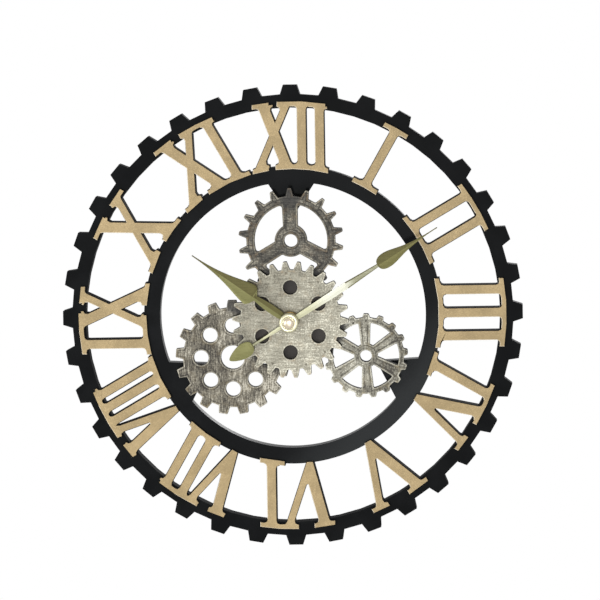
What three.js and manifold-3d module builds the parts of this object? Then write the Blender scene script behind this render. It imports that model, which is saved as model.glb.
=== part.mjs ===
// Skeleton wall clock: a toothed outer ring, Roman numerals that bridge it to an inner ring,
// four fixed ornamental gears, two leaf hands and a battery quartz movement.
//
// Millimetres. The pieces are drawn on a bench frame: x right, y towards twelve o'clock and z out of the
// wall towards the viewer, with the wall at z = 0 and the hand arbor on the z axis. The exported group
// stands the bench up, so that +Z is up and the dial faces -Y.

import * as THREE from 'three';
import { mergeVertices } from 'three/addons/utils/BufferGeometryUtils.js';
import Module from 'manifold-3d';

const wasm = await Module();
wasm.setup();

// Rings
const RING_THICKNESS = 6;
const OUTER_TIP_RADIUS = 200;
const OUTER_TOOTH_HEIGHT = 8.3;
const OUTER_RING_WIDTH = 11.5;
const OUTER_TEETH = 36;
const OUTER_TOOTH_TIP = 12;
const OUTER_TOOTH_BASE = 17.5;
const INNER_RING_RADIUS = 129.4;
const INNER_RING_WIDTH = 13.9;
const LUG_TIP_RADIUS = 85.5;
const LUG_TIP_WIDTH = 3;
const LUG_ROOT_WIDTH = 42;
const LUG_FILLET = 0.6;
const LUG_ANGLES = [0, 120, 240];

// Numerals
const NUMERAL_PROUD = 1.5;
const NUMERAL_BACK = 0.5;
const NUMERAL_OVER_OUTER = 6;
const NUMERAL_OVER_INNER = 2.6;
const SERIF_THICKNESS = 4.6;
const STEM_WIDTH = 8.4;
const THICK_STROKE = 9.6;
const THIN_STROKE = 6.8;
const APEX_WIDTH = 6;
const APEX_LIFT = 0.4;
const NUMERAL_FILLET = 2.6;
const SERIF_STEP = 22;

// Ornamental gears, centres from the hand arbor
const GEAR_THICKNESS = 3.5;
const CENTRE_GEAR = { teeth: 26, tip: 49.9, tooth: 7.1, tipWidth: 3, baseWidth: 7.4, turn: 2.1 };
const CENTRE_GEAR_THICKNESS = 4;
const CENTRE_HOLES = { count: 6, radius: 6, circle: 27.8, turn: 0.5 };
const TOP_GEAR = { teeth: 18, tip: 45.2, tooth: 6.8, tipWidth: 3, baseWidth: 6.6, turn: -1.1 };
const TOP_GEAR_CENTRE = new THREE.Vector2(0.7, 66.8);
const TOP_SPOKES = { count: 3, atHub: 12.7, atRim: 13.4, rim: 7, hub: 13.9, hole: 5.7, turn: -1.1 };
const LEFT_GEAR = { teeth: 17, tip: 49.2, tooth: 6.3, tipWidth: 7.4, baseWidth: 9.6, turn: 0 };
const LEFT_GEAR_CENTRE = new THREE.Vector2(-50.7, -32.9);
const LEFT_HOLES = { count: 8, radius: 6.4, circle: 27.2, turn: 0 };
const LEFT_BORE = 10.2;
const RIGHT_GEAR = { teeth: 17, tip: 36.1, tooth: 3.3, tipWidth: 4.4, baseWidth: 6.4, turn: 0.7 };
const RIGHT_GEAR_CENTRE = new THREE.Vector2(63.9, -33.2);
const RIGHT_SPOKES = { count: 6, atHub: 7.6, atRim: 10.4, rim: 4.3, hub: 10.2, hole: 5.1, turn: -2.1 };
const HUB_RISE = 0.8;
const HUB_STEP = 4.4;
const HUB_STEPS = 16;
const HUB_INSET = 0.5;
const WINDOW_FILLET = 2.4;

// Posts between the lugs and the gears, placed from each gear's own centre
const POST_RADIUS = 3;
const TOP_POST = { gearAngle: 0, reach: 35 };
const LEFT_POST = { gearAngle: 246.6, reach: 37.9 };
const RIGHT_POST = { gearAngle: 118, reach: 27 };
const SCREW_RADIUS = 1.25;
const SCREW_HEAD_RADIUS = 2.7;
const SCREW_HEAD_HEIGHT = 1.9;
const SCREW_GRIP = 6;
const SCREW_STEPS = 8;

// Hub stack
const HUB_PLATE_THICKNESS = 2;
const HUB_PLATE_MARGIN = 1;
const COLLAR_WALL = 3;
const WASHER_THICKNESS = 0.8;
const NUT_HEIGHT = 2.6;
const NUT_ACROSS_FLATS = 13;
const BUSH_RADIUS = 4;
const BUSH_PROUD = 1.2;

// Hanger
const HANGER_LENGTH = 36;
const HANGER_HEIGHT = 7;
const HANGER_THICKNESS = 1.2;
const HANGER_SLOT_LENGTH = 18;
const HANGER_SLOT_HEIGHT = 2.6;
const HANGER_NOTCHES = 7;
const HANGER_NOTCH_DEPTH = 0.9;
const NAIL_HEAD_DEPTH = 2.4;
const HANGER_SCREW_RADIUS = 1;
const HANGER_SCREW_LENGTH = 4;
const HANGER_SCREW_SPREAD = 1.2;

// Hands, which show about ten minutes past ten
const SHOWN_HOUR = 10;
const SHOWN_MINUTE = 9.7;
const HAND_EDGE = 0.7;
const LEAF_RIDGE_SLOPE = 0.13;
const STEM_RIDGE_SLOPE = 0.26;
const SHAFT_RIDGE_SLOPE = 0.4;
const HOUR_LEAF = {
  start: 35, wide: 41, end: 100.5, width: 19,
  flank: [[0.45, 0.22], [0.94, 0.5]], taper: [[1, 0.18], [0.06, 0.45]],
};
const HOUR_STEM_WIDTH = 7.4;
const HOUR_NECK_WIDTH = 4.5;
const MINUTE_LEAF = {
  start: 89.4, wide: 97.5, end: 149.2, width: 10.6,
  flank: [[0.8, 0.05], [1, 0.5]], taper: [[1, 0.25], [0.12, 0.55]],
};
const MINUTE_SHAFT_AT_HUB = 4.6;
const MINUTE_SHAFT_AT_LEAF = 2.4;
const TAIL_SHAFT_AT_HUB = 3.2;
const TAIL_SHAFT_AT_LEAF = 2;
const SHAFT_SHOULDER = 5;
const TAIL_LEAF = {
  start: 36.6, wide: 45.5, end: 60.2, width: 12,
  flank: [[0.8, 0.05], [1, 0.5]], taper: [[1, 0.35], [0.4, 0.93]],
};
const LEAF_INSET = 0.4;
const HAND_BOSS_RADIUS = 6.4;
const HAND_BOSS_HEIGHT = 1.9;
const CAP_RADIUS = 8;
const CAP_HEIGHT = 5.6;
const CAP_RIM = 1.2;
const DOME_STEPS = 5;
const HAND_CLEARANCE = 0.6;

// Movement case, sized by the battery and the hour wheel
const BATTERY_DIAMETER = 14.3;
const BATTERY_LENGTH = 50.5;
const BATTERY_NUB_LENGTH = 1.2;
const BATTERY_NUB_RADIUS = 2.6;
const BATTERY_PLAY = 0.15;
const CONTACT_THICKNESS = 0.4;
const CONTACT_PLAY = 0.5;
const CONTACT_WIDTH = 10;
const CASE_WALL = 1.2;
const CASE_END_WALL = 1.85;
const CASE_FRONT_WALL = 1.6;
const CASE_PARTITION = 1.6;
const CASE_CORNER = 3;
const PILLAR_HALF = 1.6;
const COVER_THICKNESS = 1.6;
const COVER_LEDGE = 0.8;
const COVER_PLAY = 0.2;

// Movement train; tooth heights are in modules, and tooth widths are shares of the pitch at tip and root
const ADDENDUM = 0.9;
const DEDENDUM = 1.3;
const WHEEL_TEETH = { tip: 0, root: 1 };
const LEAF_TEETH = { tip: 0, root: 0.55 };
const LEAF_REACH = 0.25;
const PINION_LEAVES = 6;
const CENTRE_WHEEL_TEETH = 48;
const THIRD_WHEEL_TEETH = 45;
const SECONDS_WHEEL_TEETH = 30;
const STEP_WHEEL_TEETH = 36;
const CENTRE_MODULE = 0.36;
const SECONDS_MODULE = 0.55;
const STEP_MODULE = 0.36;
const WHEEL_THICKNESS = 0.8;
const WHEEL_SPACING = 0.5;
const ARBOR_RADIUS = 0.5;
const ARBOR_PLAY = 0.1;
const PIVOT_DEPTH = 0.8;
const THIRD_BEARING = 150;
const STEP_BEARING = 35;
const ROTOR_BEARING = 20;
const ROTOR_RADIUS = 2.1;
const ROTOR_AIR_GAP = 0.6;
const STATOR_THICKNESS = 1;
const STATOR_RIM = 1.7;
const PLATE_THICKNESS = 1.2;

// Motion work, which gears the minute arbor down to the hour tube
const CANNON_LEAVES = 12;
const MOTION_WHEEL_TEETH = 36;
const CANNON_MODULE = 0.5;
const MOTION_PINION_LEAVES = 10;
const HOUR_WHEEL_TEETH = 40;
const KNOB_LEAVES = 12;
const MOTION_BEARING = 110;
const KNOB_BEARING = 165;
const MOTION_STUD_RADIUS = 0.8;
const MINUTE_ARBOR_RADIUS = 1.6;
const HOUR_TUBE_WALL = 0.8;
const TUBE_PLAY = 0.12;
const KNOB_RADIUS = 5.6;
const KNOB_THICKNESS = 2;
const KNOB_SHAFT_RADIUS = 1.5;
const KNOB_PIVOT_RADIUS = 0.8;
const KNOB_BOSS_HEIGHT = 1.5;
const KNOB_FLUTES = 10;

// Circuit and coil
const COIL_RADIUS = 2.8;
const COIL_LENGTH = 15;
const COIL_CORE_WIDTH = 2.2;
const COIL_HEIGHT = 20.7;
const STATOR_ARM_WIDTH = 3;
const BOARD_LENGTH = 14;
const BOARD_WIDTH = 10;
const BOARD_THICKNESS = 0.8;
const BOARD_LIFT = 0.8;
const BOARD_STAND_RADIUS = 1.2;
const CRYSTAL_RADIUS = 1;
const CRYSTAL_LENGTH = 6;

// Fits shared by the whole clock
const BORE_PLAY = 0.2;
const STACK_GAP = 0.3;
const RUN_CLEARANCE = 0.5;
const JOIN_LAP = 0.5;

// Facets of the two dial rings
const RING_STEPS = 60;

// Facets of the movement's bores and pivots
const BORE_STEPS = 12;
const PIVOT_STEPS = 8;

const TURN = 2 * Math.PI;
const rad = THREE.MathUtils.degToRad;

// Points on a circle: clock angles run clockwise from twelve, bearings anticlockwise from three
const clockPoint = (radius, degrees) =>
  new THREE.Vector2(radius * Math.sin(rad(degrees)), radius * Math.cos(rad(degrees)));
const bearingPoint = (radius, degrees) =>
  new THREE.Vector2(radius * Math.cos(rad(degrees)), radius * Math.sin(rad(degrees)));
const at = (radius, angle) => new THREE.Vector2(radius * Math.cos(angle), radius * Math.sin(angle));

const toPoints = (pairs) => pairs.map(([x, y]) => new THREE.Vector2(x, y));

function arcPoints(radius, from, to, steps) {
  const points = [];
  for (let i = 0; i <= steps; i += 1) points.push(at(radius, from + ((to - from) * i) / steps));
  return points;
}

function circlePoints(radius, steps, centre = new THREE.Vector2()) {
  return arcPoints(radius, 0, TURN, steps).slice(0, steps).map((p) => p.add(centre));
}

function rectanglePoints(left, bottom, right, top) {
  return toPoints([[left, bottom], [right, bottom], [right, top], [left, top]]);
}

// Rounds every corner of a closed outline that turns by more than a shallow angle
function rounded(points, radius, steps = 3) {
  const shallow = rad(25);
  const out = [];
  points.forEach((corner, i) => {
    const back = points[(i + points.length - 1) % points.length].clone().sub(corner);
    const ahead = points[(i + 1) % points.length].clone().sub(corner);
    const room = Math.min(back.length(), ahead.length());
    back.normalize();
    ahead.normalize();
    const opening = Math.acos(THREE.MathUtils.clamp(back.dot(ahead), -1, 1));
    if (Math.PI - opening < shallow) {
      out.push(corner);
      return;
    }
    const reach = Math.min(radius / Math.tan(opening / 2), 0.48 * room);
    out.push(...filletArc(corner, back, ahead, reach, steps));
  });
  return out;
}

// The arc that is tangent to two unit directions leaving a corner, at a given reach along both
function filletArc(corner, first, second, reach, steps) {
  const opening = Math.acos(THREE.MathUtils.clamp(first.dot(second), -1, 1));
  const radius = reach * Math.tan(opening / 2);
  const centre = first.clone().add(second).normalize()
    .multiplyScalar(radius / Math.sin(opening / 2)).add(corner);
  const start = first.clone().multiplyScalar(reach).add(corner).sub(centre);
  const end = second.clone().multiplyScalar(reach).add(corner).sub(centre);
  const sweep = Math.atan2(start.cross(end), start.dot(end));
  const points = [];
  for (let i = 0; i <= steps; i += 1) {
    points.push(start.clone().rotateAround(new THREE.Vector2(), (sweep * i) / steps).add(centre));
  }
  return points;
}

// Solids

function solid(geometry) {
  const bare = geometry.index ? geometry.toNonIndexed() : geometry;
  bare.deleteAttribute('normal');
  bare.deleteAttribute('uv');
  const merged = mergeVertices(bare, 1e-5);
  const index = merged.index.array;
  const triVerts = [];
  for (let i = 0; i < index.length; i += 3) {
    const [a, b, c] = [index[i], index[i + 1], index[i + 2]];
    if (a !== b && b !== c && c !== a) triVerts.push(a, b, c);
  }
  return new wasm.Manifold(new wasm.Mesh({
    numProp: 3,
    vertProperties: merged.attributes.position.array,
    triVerts: new Uint32Array(triVerts),
  }));
}

// A flat piece: an outline with holes, from one height to another
function slab(outline, bottom, top, holes = []) {
  const shape = new THREE.Shape(outline);
  shape.holes = holes.map((points) => new THREE.Path(points));
  const geometry = new THREE.ExtrudeGeometry(shape, { depth: top - bottom, bevelEnabled: false });
  return solid(geometry.translate(0, 0, bottom));
}

function disc(radius, bottom, top, steps = 24, centre = new THREE.Vector2()) {
  return slab(circlePoints(radius, steps, centre), bottom, top);
}

// A turned piece about a line parallel to z: profile points are [radius, height], anticlockwise
function turned(profile, steps, centre = new THREE.Vector2()) {
  const points = toPoints([...profile, profile[0]]);
  const geometry = new THREE.LatheGeometry(points, steps);
  return solid(geometry.rotateX(Math.PI / 2).translate(centre.x, centre.y, 0));
}

// A profile in the x-z plane drawn out along y
function drawn(profile, from, to) {
  const shape = new THREE.Shape(toPoints(profile));
  const geometry = new THREE.ExtrudeGeometry(shape, { depth: to - from, bevelEnabled: false });
  return solid(geometry.rotateX(Math.PI / 2).translate(0, to, 0));
}

const join = (first, ...rest) => rest.reduce((whole, piece) => whole.add(piece), first);
const cut = (first, ...rest) => rest.reduce((whole, piece) => whole.subtract(piece), first);

const turnedOutline = (points, degreesClockwise) =>
  points.map((p) => p.clone().rotateAround(new THREE.Vector2(), -rad(degreesClockwise)));

const bench = new THREE.Group();
bench.rotation.x = Math.PI / 2;

// Adds a piece to the bench: moved to a place, turned clockwise about z, or laid with its own z along x
function addPiece(name, piece, material, { place = new THREE.Vector3(), clockwise = 0, lie = 0 } = {}) {
  const { vertProperties, triVerts } = piece.getMesh();
  const geometry = new THREE.BufferGeometry();
  geometry.setAttribute('position', new THREE.BufferAttribute(vertProperties, 3));
  geometry.setIndex(new THREE.BufferAttribute(triVerts, 1));
  geometry.computeVertexNormals();
  const mesh = new THREE.Mesh(geometry, material.clone());
  mesh.name = name;
  mesh.position.set(place.x, place.y, place.z ?? 0);
  mesh.rotation.set(0, (lie * Math.PI) / 2, -rad(clockwise));
  bench.add(mesh);
}

function finish(color, roughness, metalness) {
  return new THREE.MeshStandardMaterial({ color, roughness, metalness });
}

const satinBlack = finish(0x1f1f20, 0.5, 0.1);
const tanGold = finish(0xc9ab7a, 0.6, 0.3);
const paleSteel = finish(0xb9b6aa, 0.5, 0.8);
const pewter = finish(0x85827a, 0.55, 0.8);
const oliveGold = finish(0x8c884c, 0.35, 0.9);
const brightGold = finish(0xe6d9a8, 0.2, 1);
const zincSteel = finish(0xa8abad, 0.4, 0.9);
const blackPlastic = finish(0x171718, 0.6, 0);
const whitePlastic = finish(0xd8d6cc, 0.6, 0);
const brass = finish(0xb8954a, 0.35, 0.9);
const copper = finish(0xa85a32, 0.45, 0.6);
const boardGreen = finish(0x1f5a36, 0.6, 0);
const rubber = finish(0x262626, 0.9, 0);
const magnet = finish(0x3a3a3d, 0.4, 0.6);
const cellSleeve = finish(0x6f7274, 0.4, 0.3);

// Heights of the stack, from the wall outwards
const ringFront = RING_THICKNESS;
const numeralFront = ringFront + NUMERAL_PROUD;
const chamberFront = STACK_GAP + BATTERY_DIAMETER + BORE_PLAY;
const caseFront = chamberFront + CASE_FRONT_WALL;
const gearBack = caseFront + STACK_GAP;
const gearFront = gearBack + GEAR_THICKNESS;
const hubPlateFront = gearFront + HUB_PLATE_THICKNESS;
const centreGearFront = hubPlateFront + CENTRE_GEAR_THICKNESS;
const washerFront = centreGearFront + WASHER_THICKNESS;
const nutFront = washerFront + NUT_HEIGHT;
const bushFront = nutFront + BUSH_PROUD;
const hourHandBack = bushFront + HAND_CLEARANCE;
const hourTubeFront = hourHandBack + HAND_BOSS_HEIGHT;
const minuteHandBack = hourTubeFront + HAND_CLEARANCE;
const minuteHandFront = minuteHandBack + HAND_BOSS_HEIGHT;
const minuteArborFront = minuteHandFront + 0.5 * CAP_HEIGHT;

// Rings

const outerRoot = OUTER_TIP_RADIUS - OUTER_TOOTH_HEIGHT;
const outerInside = outerRoot - OUTER_RING_WIDTH;
const innerInside = INNER_RING_RADIUS - INNER_RING_WIDTH;

// Outline of a gear: flat or pointed teeth on a root circle, the first tooth at the given angle
function gearOutline({ teeth, tip, tooth, tipWidth, baseWidth }, phase) {
  const root = tip - tooth;
  const halfTip = tipWidth / 2 / tip;
  const pitch = TURN / teeth;
  const halfBase = Math.min(baseWidth / root, pitch) / 2;
  const points = [];
  for (let i = 0; i < teeth; i += 1) {
    const middle = phase + i * pitch;
    if (tipWidth > 0) points.push(at(tip, middle - halfTip));
    points.push(at(tip, middle + halfTip));
    points.push(at(root, middle + halfBase));
    if (2 * halfBase < pitch) points.push(at(root, middle + pitch - halfBase));
  }
  return points;
}

const twelve = Math.PI / 2;

const hangerMiddle = outerInside + OUTER_RING_WIDTH / 2;
const hangerFloor = STACK_GAP + HANGER_THICKNESS;
const hangerScrewX = (HANGER_LENGTH + HANGER_SLOT_LENGTH) / 4;
const hangerScrewPoint = (side) => new THREE.Vector2(side * hangerScrewX, hangerMiddle);

function hangerBox(length, height, bottom, top) {
  const low = hangerMiddle - height / 2;
  return slab(rectanglePoints(-length / 2, low, length / 2, low + height), bottom, top);
}

function outerRing() {
  const outline = gearOutline({
    teeth: OUTER_TEETH,
    tip: OUTER_TIP_RADIUS,
    tooth: OUTER_TOOTH_HEIGHT,
    tipWidth: OUTER_TOOTH_TIP,
    baseWidth: OUTER_TOOTH_BASE,
  }, twelve);
  const pocket = hangerBox(HANGER_LENGTH + 2 * BORE_PLAY, HANGER_HEIGHT + 2 * BORE_PLAY, -1, hangerFloor);
  const nailRoom = hangerBox(HANGER_SLOT_LENGTH, HANGER_HEIGHT - 2, -1, hangerFloor + NAIL_HEAD_DEPTH);
  const pilotEnd = STACK_GAP + HANGER_SCREW_LENGTH + BORE_PLAY;
  const pilots = [-1, 1].map((side) => disc(HANGER_SCREW_RADIUS + BORE_PLAY, -1, pilotEnd, SCREW_STEPS,
    hangerScrewPoint(side)));
  const ring = slab(outline, 0, ringFront, [circlePoints(outerInside, RING_STEPS)]);
  return cut(ring, pocket, nailRoom, ...pilots);
}

// Posts: each stands on a lug of the inner ring and carries one gear
const postPoint = (centre, post) => clockPoint(post.reach, post.gearAngle).add(centre);
const posts = {
  top: postPoint(TOP_GEAR_CENTRE, TOP_POST),
  left: postPoint(LEFT_GEAR_CENTRE, LEFT_POST),
  right: postPoint(RIGHT_GEAR_CENTRE, RIGHT_POST),
};
const screwSeat = STACK_GAP + SCREW_HEAD_HEIGHT;

function innerRing() {
  const inside = circlePoints(innerInside, RING_STEPS);
  const ring = slab(circlePoints(INNER_RING_RADIUS, RING_STEPS), 0, ringFront, [inside]);
  const anchor = innerInside + INNER_RING_WIDTH / 2;
  const tip = LUG_TIP_RADIUS;
  const tipHalf = LUG_TIP_WIDTH / 2;
  const anchorHalf = tipHalf + ((LUG_ROOT_WIDTH / 2 - tipHalf) * (anchor - tip)) / (innerInside - tip);
  const corners = toPoints([[-anchorHalf, anchor], [-tipHalf, tip], [tipHalf, tip], [anchorHalf, anchor]]);
  const outline = rounded(corners, LUG_FILLET, 2);
  const lugs = LUG_ANGLES.map((angle) => slab(turnedOutline(outline, angle), 0, ringFront));
  const bores = Object.values(posts).flatMap((p) => [
    disc(SCREW_RADIUS + BORE_PLAY, -1, ringFront + 1, SCREW_STEPS, p),
    disc(SCREW_HEAD_RADIUS + BORE_PLAY, -1, screwSeat, 12, p),
  ]);
  return cut(join(ring, ...lugs), ...bores);
}

// Numerals: strokes in a frame whose v axis runs out along the hour's radius and whose u axis runs clockwise.
// Stems, vees and exes give where each stroke crosses the serif bands; serifs are spans along u.

const numeralTop = outerInside + NUMERAL_OVER_OUTER;
const numeralBase = INNER_RING_RADIUS - NUMERAL_OVER_INNER;
const topBand = [numeralTop - SERIF_THICKNESS, numeralTop];
const baseBand = [numeralBase, numeralBase + SERIF_THICKNESS];

const NUMERALS = {
  I: { stems: [0], top: [[-12, 12]], base: [[-12.4, 12.4]] },
  II: { stems: [-11.9, 11.9], top: [[-23.2, 23.2]], base: [[-23.6, 23.6]] },
  III: { stems: [-20, 0, 20], top: [[-30, 30]], base: [[-30.4, 30.4]] },
  IV: {
    stems: [-22.4],
    vee: { left: -5.5, right: 24.6, apex: 10.2 },
    top: [[-32.4, 5.8], [17.9, 33]],
    base: [[-33, -11.6]],
  },
  V: { vee: { left: -17.8, right: 20, apex: 0.4 }, top: [[-27.6, -7.2], [12, 27.8]] },
  VI: {
    vee: { left: -25.6, right: 5.2, apex: -12.9 },
    stems: [20.5],
    top: [[-34.6, -16.2], [-3.1, 30.9]],
    base: [[8.5, 30.5]],
  },
  VII: {
    vee: { left: -25.5, right: -0.6, apex: -13.6 },
    stems: [9, 24.7],
    top: [[-33.5, -17.5], [-8.3, 31]],
    base: [[0, 32.2]],
  },
  VIII: {
    vee: { left: -28.4, right: -7.7, apex: -18.2 },
    stems: [0.8, 13.3, 25.8],
    top: [[-35, -21], [-14.2, 31.6]],
    base: [[-7.4, 33]],
  },
  IX: {
    stems: [-22.8],
    ex: { topLeft: -2.8, baseRight: 20, topRight: 19.3, baseLeft: -4.7 },
    top: [[-31.6, 4.8], [12.9, 27.8]],
    base: [[-32.6, 2.2], [10.1, 29.8]],
  },
  X: {
    ex: { topLeft: -14, baseRight: 13.2, topRight: 13.4, baseLeft: -16.7 },
    top: [[-26.1, -5.5], [5.5, 23]],
    base: [[-28.2, -7.7], [1.8, 25.2]],
  },
  XI: {
    ex: { topLeft: -20.7, baseRight: 3.7, topRight: 2.8, baseLeft: -23.2 },
    stems: [20.7],
    top: [[-31.8, -12.9], [-5.2, 28]],
    base: [[-33.5, -15.1], [-8.6, 31.8]],
  },
  XII: {
    ex: { topLeft: -23.3, baseRight: -4.1, topRight: -3.6, baseLeft: -25.6 },
    stems: [10, 25.6],
    top: [[-33.1, -18], [-11.4, 31.3]],
    base: [[-33, -18.4], [-13.2, 33.1]],
  },
};

// A numeral fills the gap between the rings and laps over the front of both
const overInnerRing = disc(INNER_RING_RADIUS + BORE_PLAY, -1, ringFront, RING_STEPS);
const overOuterRing = slab(circlePoints(OUTER_TIP_RADIUS, RING_STEPS), -1, ringFront,
  [circlePoints(outerInside - BORE_PLAY, RING_STEPS)]);

const onArc = (u, radius) => new THREE.Vector2(u, Math.sqrt(radius * radius - u * u));

function serif([from, to], [low, high]) {
  const steps = Math.ceil((to - from) / SERIF_STEP);
  const along = Array.from({ length: steps + 1 }, (_, i) => from + ((to - from) * i) / steps);
  const outer = along.map((u) => onArc(u, high));
  const inner = along.map((u) => onArc(u, low));
  return [...inner, ...outer.reverse()];
}

// A side of a stroke: the u of a straight line at any height v, given where it meets the top and base bands
function sideLine(uTop, uBase, baseHeight = baseBand[1]) {
  return (v) => uBase + ((uTop - uBase) * (v - baseHeight)) / (topBand[0] - baseHeight);
}

// How wide a slanting stroke is when measured along u
function acrossWidth(uTop, uBase, width) {
  return width * Math.hypot(1, (uTop - uBase) / (topBand[0] - baseBand[1]));
}

// The rounded corner where a stroke's side runs into a serif, from the serif's inner edge to the stroke
function flare(side, outward, edgeRadius, away) {
  const near = onArc(side(edgeRadius), edgeRadius);
  const corner = onArc(side(near.y), edgeRadius);
  const alongSerif = new THREE.Vector2(outward, (-outward * corner.x) / corner.y).normalize();
  const alongStroke = new THREE.Vector2(side(corner.y + away) - side(corner.y), away).normalize();
  const opening = Math.acos(alongSerif.dot(alongStroke));
  const arc = filletArc(corner, alongSerif, alongStroke, NUMERAL_FILLET / Math.tan(opening / 2), 2);
  const buried = new THREE.Vector2(arc[0].x, arc[0].y - (away * SERIF_THICKNESS) / 2);
  return [buried, ...arc];
}

const topFlare = (side, outward) => flare(side, outward, topBand[0], -1);
const baseFlare = (side, outward) => flare(side, outward, baseBand[1], 1);

// A stroke from serif to serif, widened where it enters each of them
function strokeOutline(uTop, uBase, width) {
  const half = acrossWidth(uTop, uBase, width) / 2;
  const left = sideLine(uTop - half, uBase - half);
  const right = sideLine(uTop + half, uBase + half);
  return [
    ...baseFlare(right, 1), ...topFlare(right, 1).reverse(),
    ...topFlare(left, -1), ...baseFlare(left, -1).reverse(),
  ];
}

// A vee has no base serif: its two strokes close on a short flat apex
function veeOutline({ left, right, apex }) {
  const low = numeralBase + APEX_LIFT;
  const thick = acrossWidth(left, apex, THICK_STROKE);
  const thin = acrossWidth(right, apex, THIN_STROKE);
  const apexLeft = apex - APEX_WIDTH / 2;
  const apexRight = apex + APEX_WIDTH / 2;
  const outerLeft = sideLine(left - thick / 2, apexLeft, low);
  const innerLeft = sideLine(left + thick / 2, apexLeft + thick, low);
  const outerRight = sideLine(right + thin / 2, apexRight, low);
  const innerRight = sideLine(right - thin / 2, apexRight - thin, low);
  const rise = topBand[0] - low;
  const openAtTop = innerRight(topBand[0]) - innerLeft(topBand[0]);
  const openAtBase = innerRight(low) - innerLeft(low);
  const crotchHeight = low - (openAtBase * rise) / (openAtTop - openAtBase);
  const crotch = new THREE.Vector2(innerLeft(crotchHeight), crotchHeight);
  const towards = (side) => new THREE.Vector2(side(topBand[0]), topBand[0]).sub(crotch).normalize();
  return [
    new THREE.Vector2(apexLeft, low), new THREE.Vector2(apexRight, low),
    ...topFlare(outerRight, 1).reverse(), ...topFlare(innerRight, -1),
    ...filletArc(crotch, towards(innerRight), towards(innerLeft), NUMERAL_FILLET, 2),
    ...topFlare(innerLeft, 1).reverse(), ...topFlare(outerLeft, -1),
  ];
}

function numeral({ stems = [], vee, ex, top, base = [] }) {
  const outlines = [
    ...top.map((span) => serif(span, topBand)),
    ...base.map((span) => serif(span, baseBand)),
    ...stems.map((u) => strokeOutline(u, u, STEM_WIDTH)),
  ];
  if (ex) {
    outlines.push(strokeOutline(ex.topLeft, ex.baseRight, THICK_STROKE));
    outlines.push(strokeOutline(ex.topRight, ex.baseLeft, THIN_STROKE));
  }
  if (vee) outlines.push(veeOutline(vee));
  const whole = join(...outlines.map((outline) => slab(outline, NUMERAL_BACK, numeralFront)));
  return cut(whole, overInnerRing, overOuterRing);
}

// Ornamental gears

const firstTooth = ({ turn }) => twelve - rad(turn);
const holeRing = ({ count, radius, circle, turn }, steps) => Array.from({ length: count },
  (_, i) => circlePoints(radius, steps, clockPoint(circle, turn + (360 * i) / count)));

// The openings between the spokes of a wheel, whose spokes are straight-sided with rounded ends
function spokeWindows({ count, atHub, atRim, rim, hub, turn }, root, steps) {
  const outside = root - rim;
  const share = TURN / count;
  return Array.from({ length: count }, (_, i) => {
    const middle = twelve - rad(turn) + (i + 0.5) * share;
    const halfOut = share / 2 - Math.asin(atRim / 2 / outside);
    const halfIn = share / 2 - Math.asin(atHub / 2 / hub);
    const outline = [
      ...arcPoints(hub, middle + halfIn, middle - halfIn, Math.max(2, Math.round(steps / 2))),
      ...arcPoints(outside, middle - halfOut, middle + halfOut, steps),
    ];
    return rounded(outline, WINDOW_FILLET, 2);
  });
}

// A stepped boss with a bore, proud of a gear's front
function hubBoss({ hub, hole }, front) {
  const outside = hub - HUB_INSET;
  return turned([[hole, front - 1], [outside, front - 1], [outside, front + 0.5 * HUB_RISE],
    [hub - HUB_STEP, front + HUB_RISE], [hole, front + HUB_RISE]], HUB_STEPS);
}

function centreGear() {
  const halfPitch = Math.PI / CENTRE_GEAR.teeth;
  const outline = gearOutline(CENTRE_GEAR, firstTooth(CENTRE_GEAR) + halfPitch);
  const holes = [...holeRing(CENTRE_HOLES, 10), circlePoints(BUSH_RADIUS + BORE_PLAY, 16)];
  return slab(outline, hubPlateFront, centreGearFront, holes);
}

function spokedGear(gear, spokes, windowSteps) {
  const outline = gearOutline(gear, firstTooth(gear));
  const bore = circlePoints(spokes.hole, HUB_STEPS);
  const windows = spokeWindows(spokes, gear.tip - gear.tooth, windowSteps);
  const wheel = slab(outline, gearBack, gearFront, [bore, ...windows]);
  return join(wheel, hubBoss(spokes, gearFront));
}

function leftGear() {
  const outline = gearOutline(LEFT_GEAR, firstTooth(LEFT_GEAR));
  const holes = [...holeRing(LEFT_HOLES, 10), circlePoints(LEFT_BORE, 16)];
  return slab(outline, gearBack, gearFront, holes);
}

function hubPlate() {
  const radius = CENTRE_GEAR.tip - CENTRE_GEAR.tooth - HUB_PLATE_MARGIN;
  return bushRing(radius, gearFront, hubPlateFront, 28);
}

// A post is a stub with a blind bore that takes the screw from behind the lug
function gearPost(point) {
  const boreTop = ringFront + SCREW_GRIP + STACK_GAP;
  return cut(
    disc(POST_RADIUS, ringFront, gearBack, 12, point),
    disc(SCREW_RADIUS + ARBOR_PLAY, ringFront - 1, boreTop, SCREW_STEPS, point),
  );
}

function postScrew(point) {
  const tip = ringFront + SCREW_GRIP;
  const crown = 0.4;
  const chamfer = 0.6;
  const head = SCREW_HEAD_RADIUS;
  return turned([[0, STACK_GAP], [head - crown, STACK_GAP], [head, STACK_GAP + crown], [head, screwSeat],
    [SCREW_RADIUS, screwSeat], [SCREW_RADIUS, tip - chamfer], [SCREW_RADIUS - chamfer, tip], [0, tip]],
  SCREW_STEPS, point);
}

// Hanger: a toothed plate let into the back of the outer ring

function countersink(side) {
  const wide = HANGER_SCREW_RADIUS + HANGER_SCREW_SPREAD + BORE_PLAY;
  const narrow = HANGER_SCREW_RADIUS + BORE_PLAY;
  const low = STACK_GAP - BORE_PLAY;
  const high = hangerFloor + 1;
  return turned([[0, low], [wide, low], [narrow, hangerFloor], [narrow, high], [0, high]], SCREW_STEPS,
    hangerScrewPoint(side));
}

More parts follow.
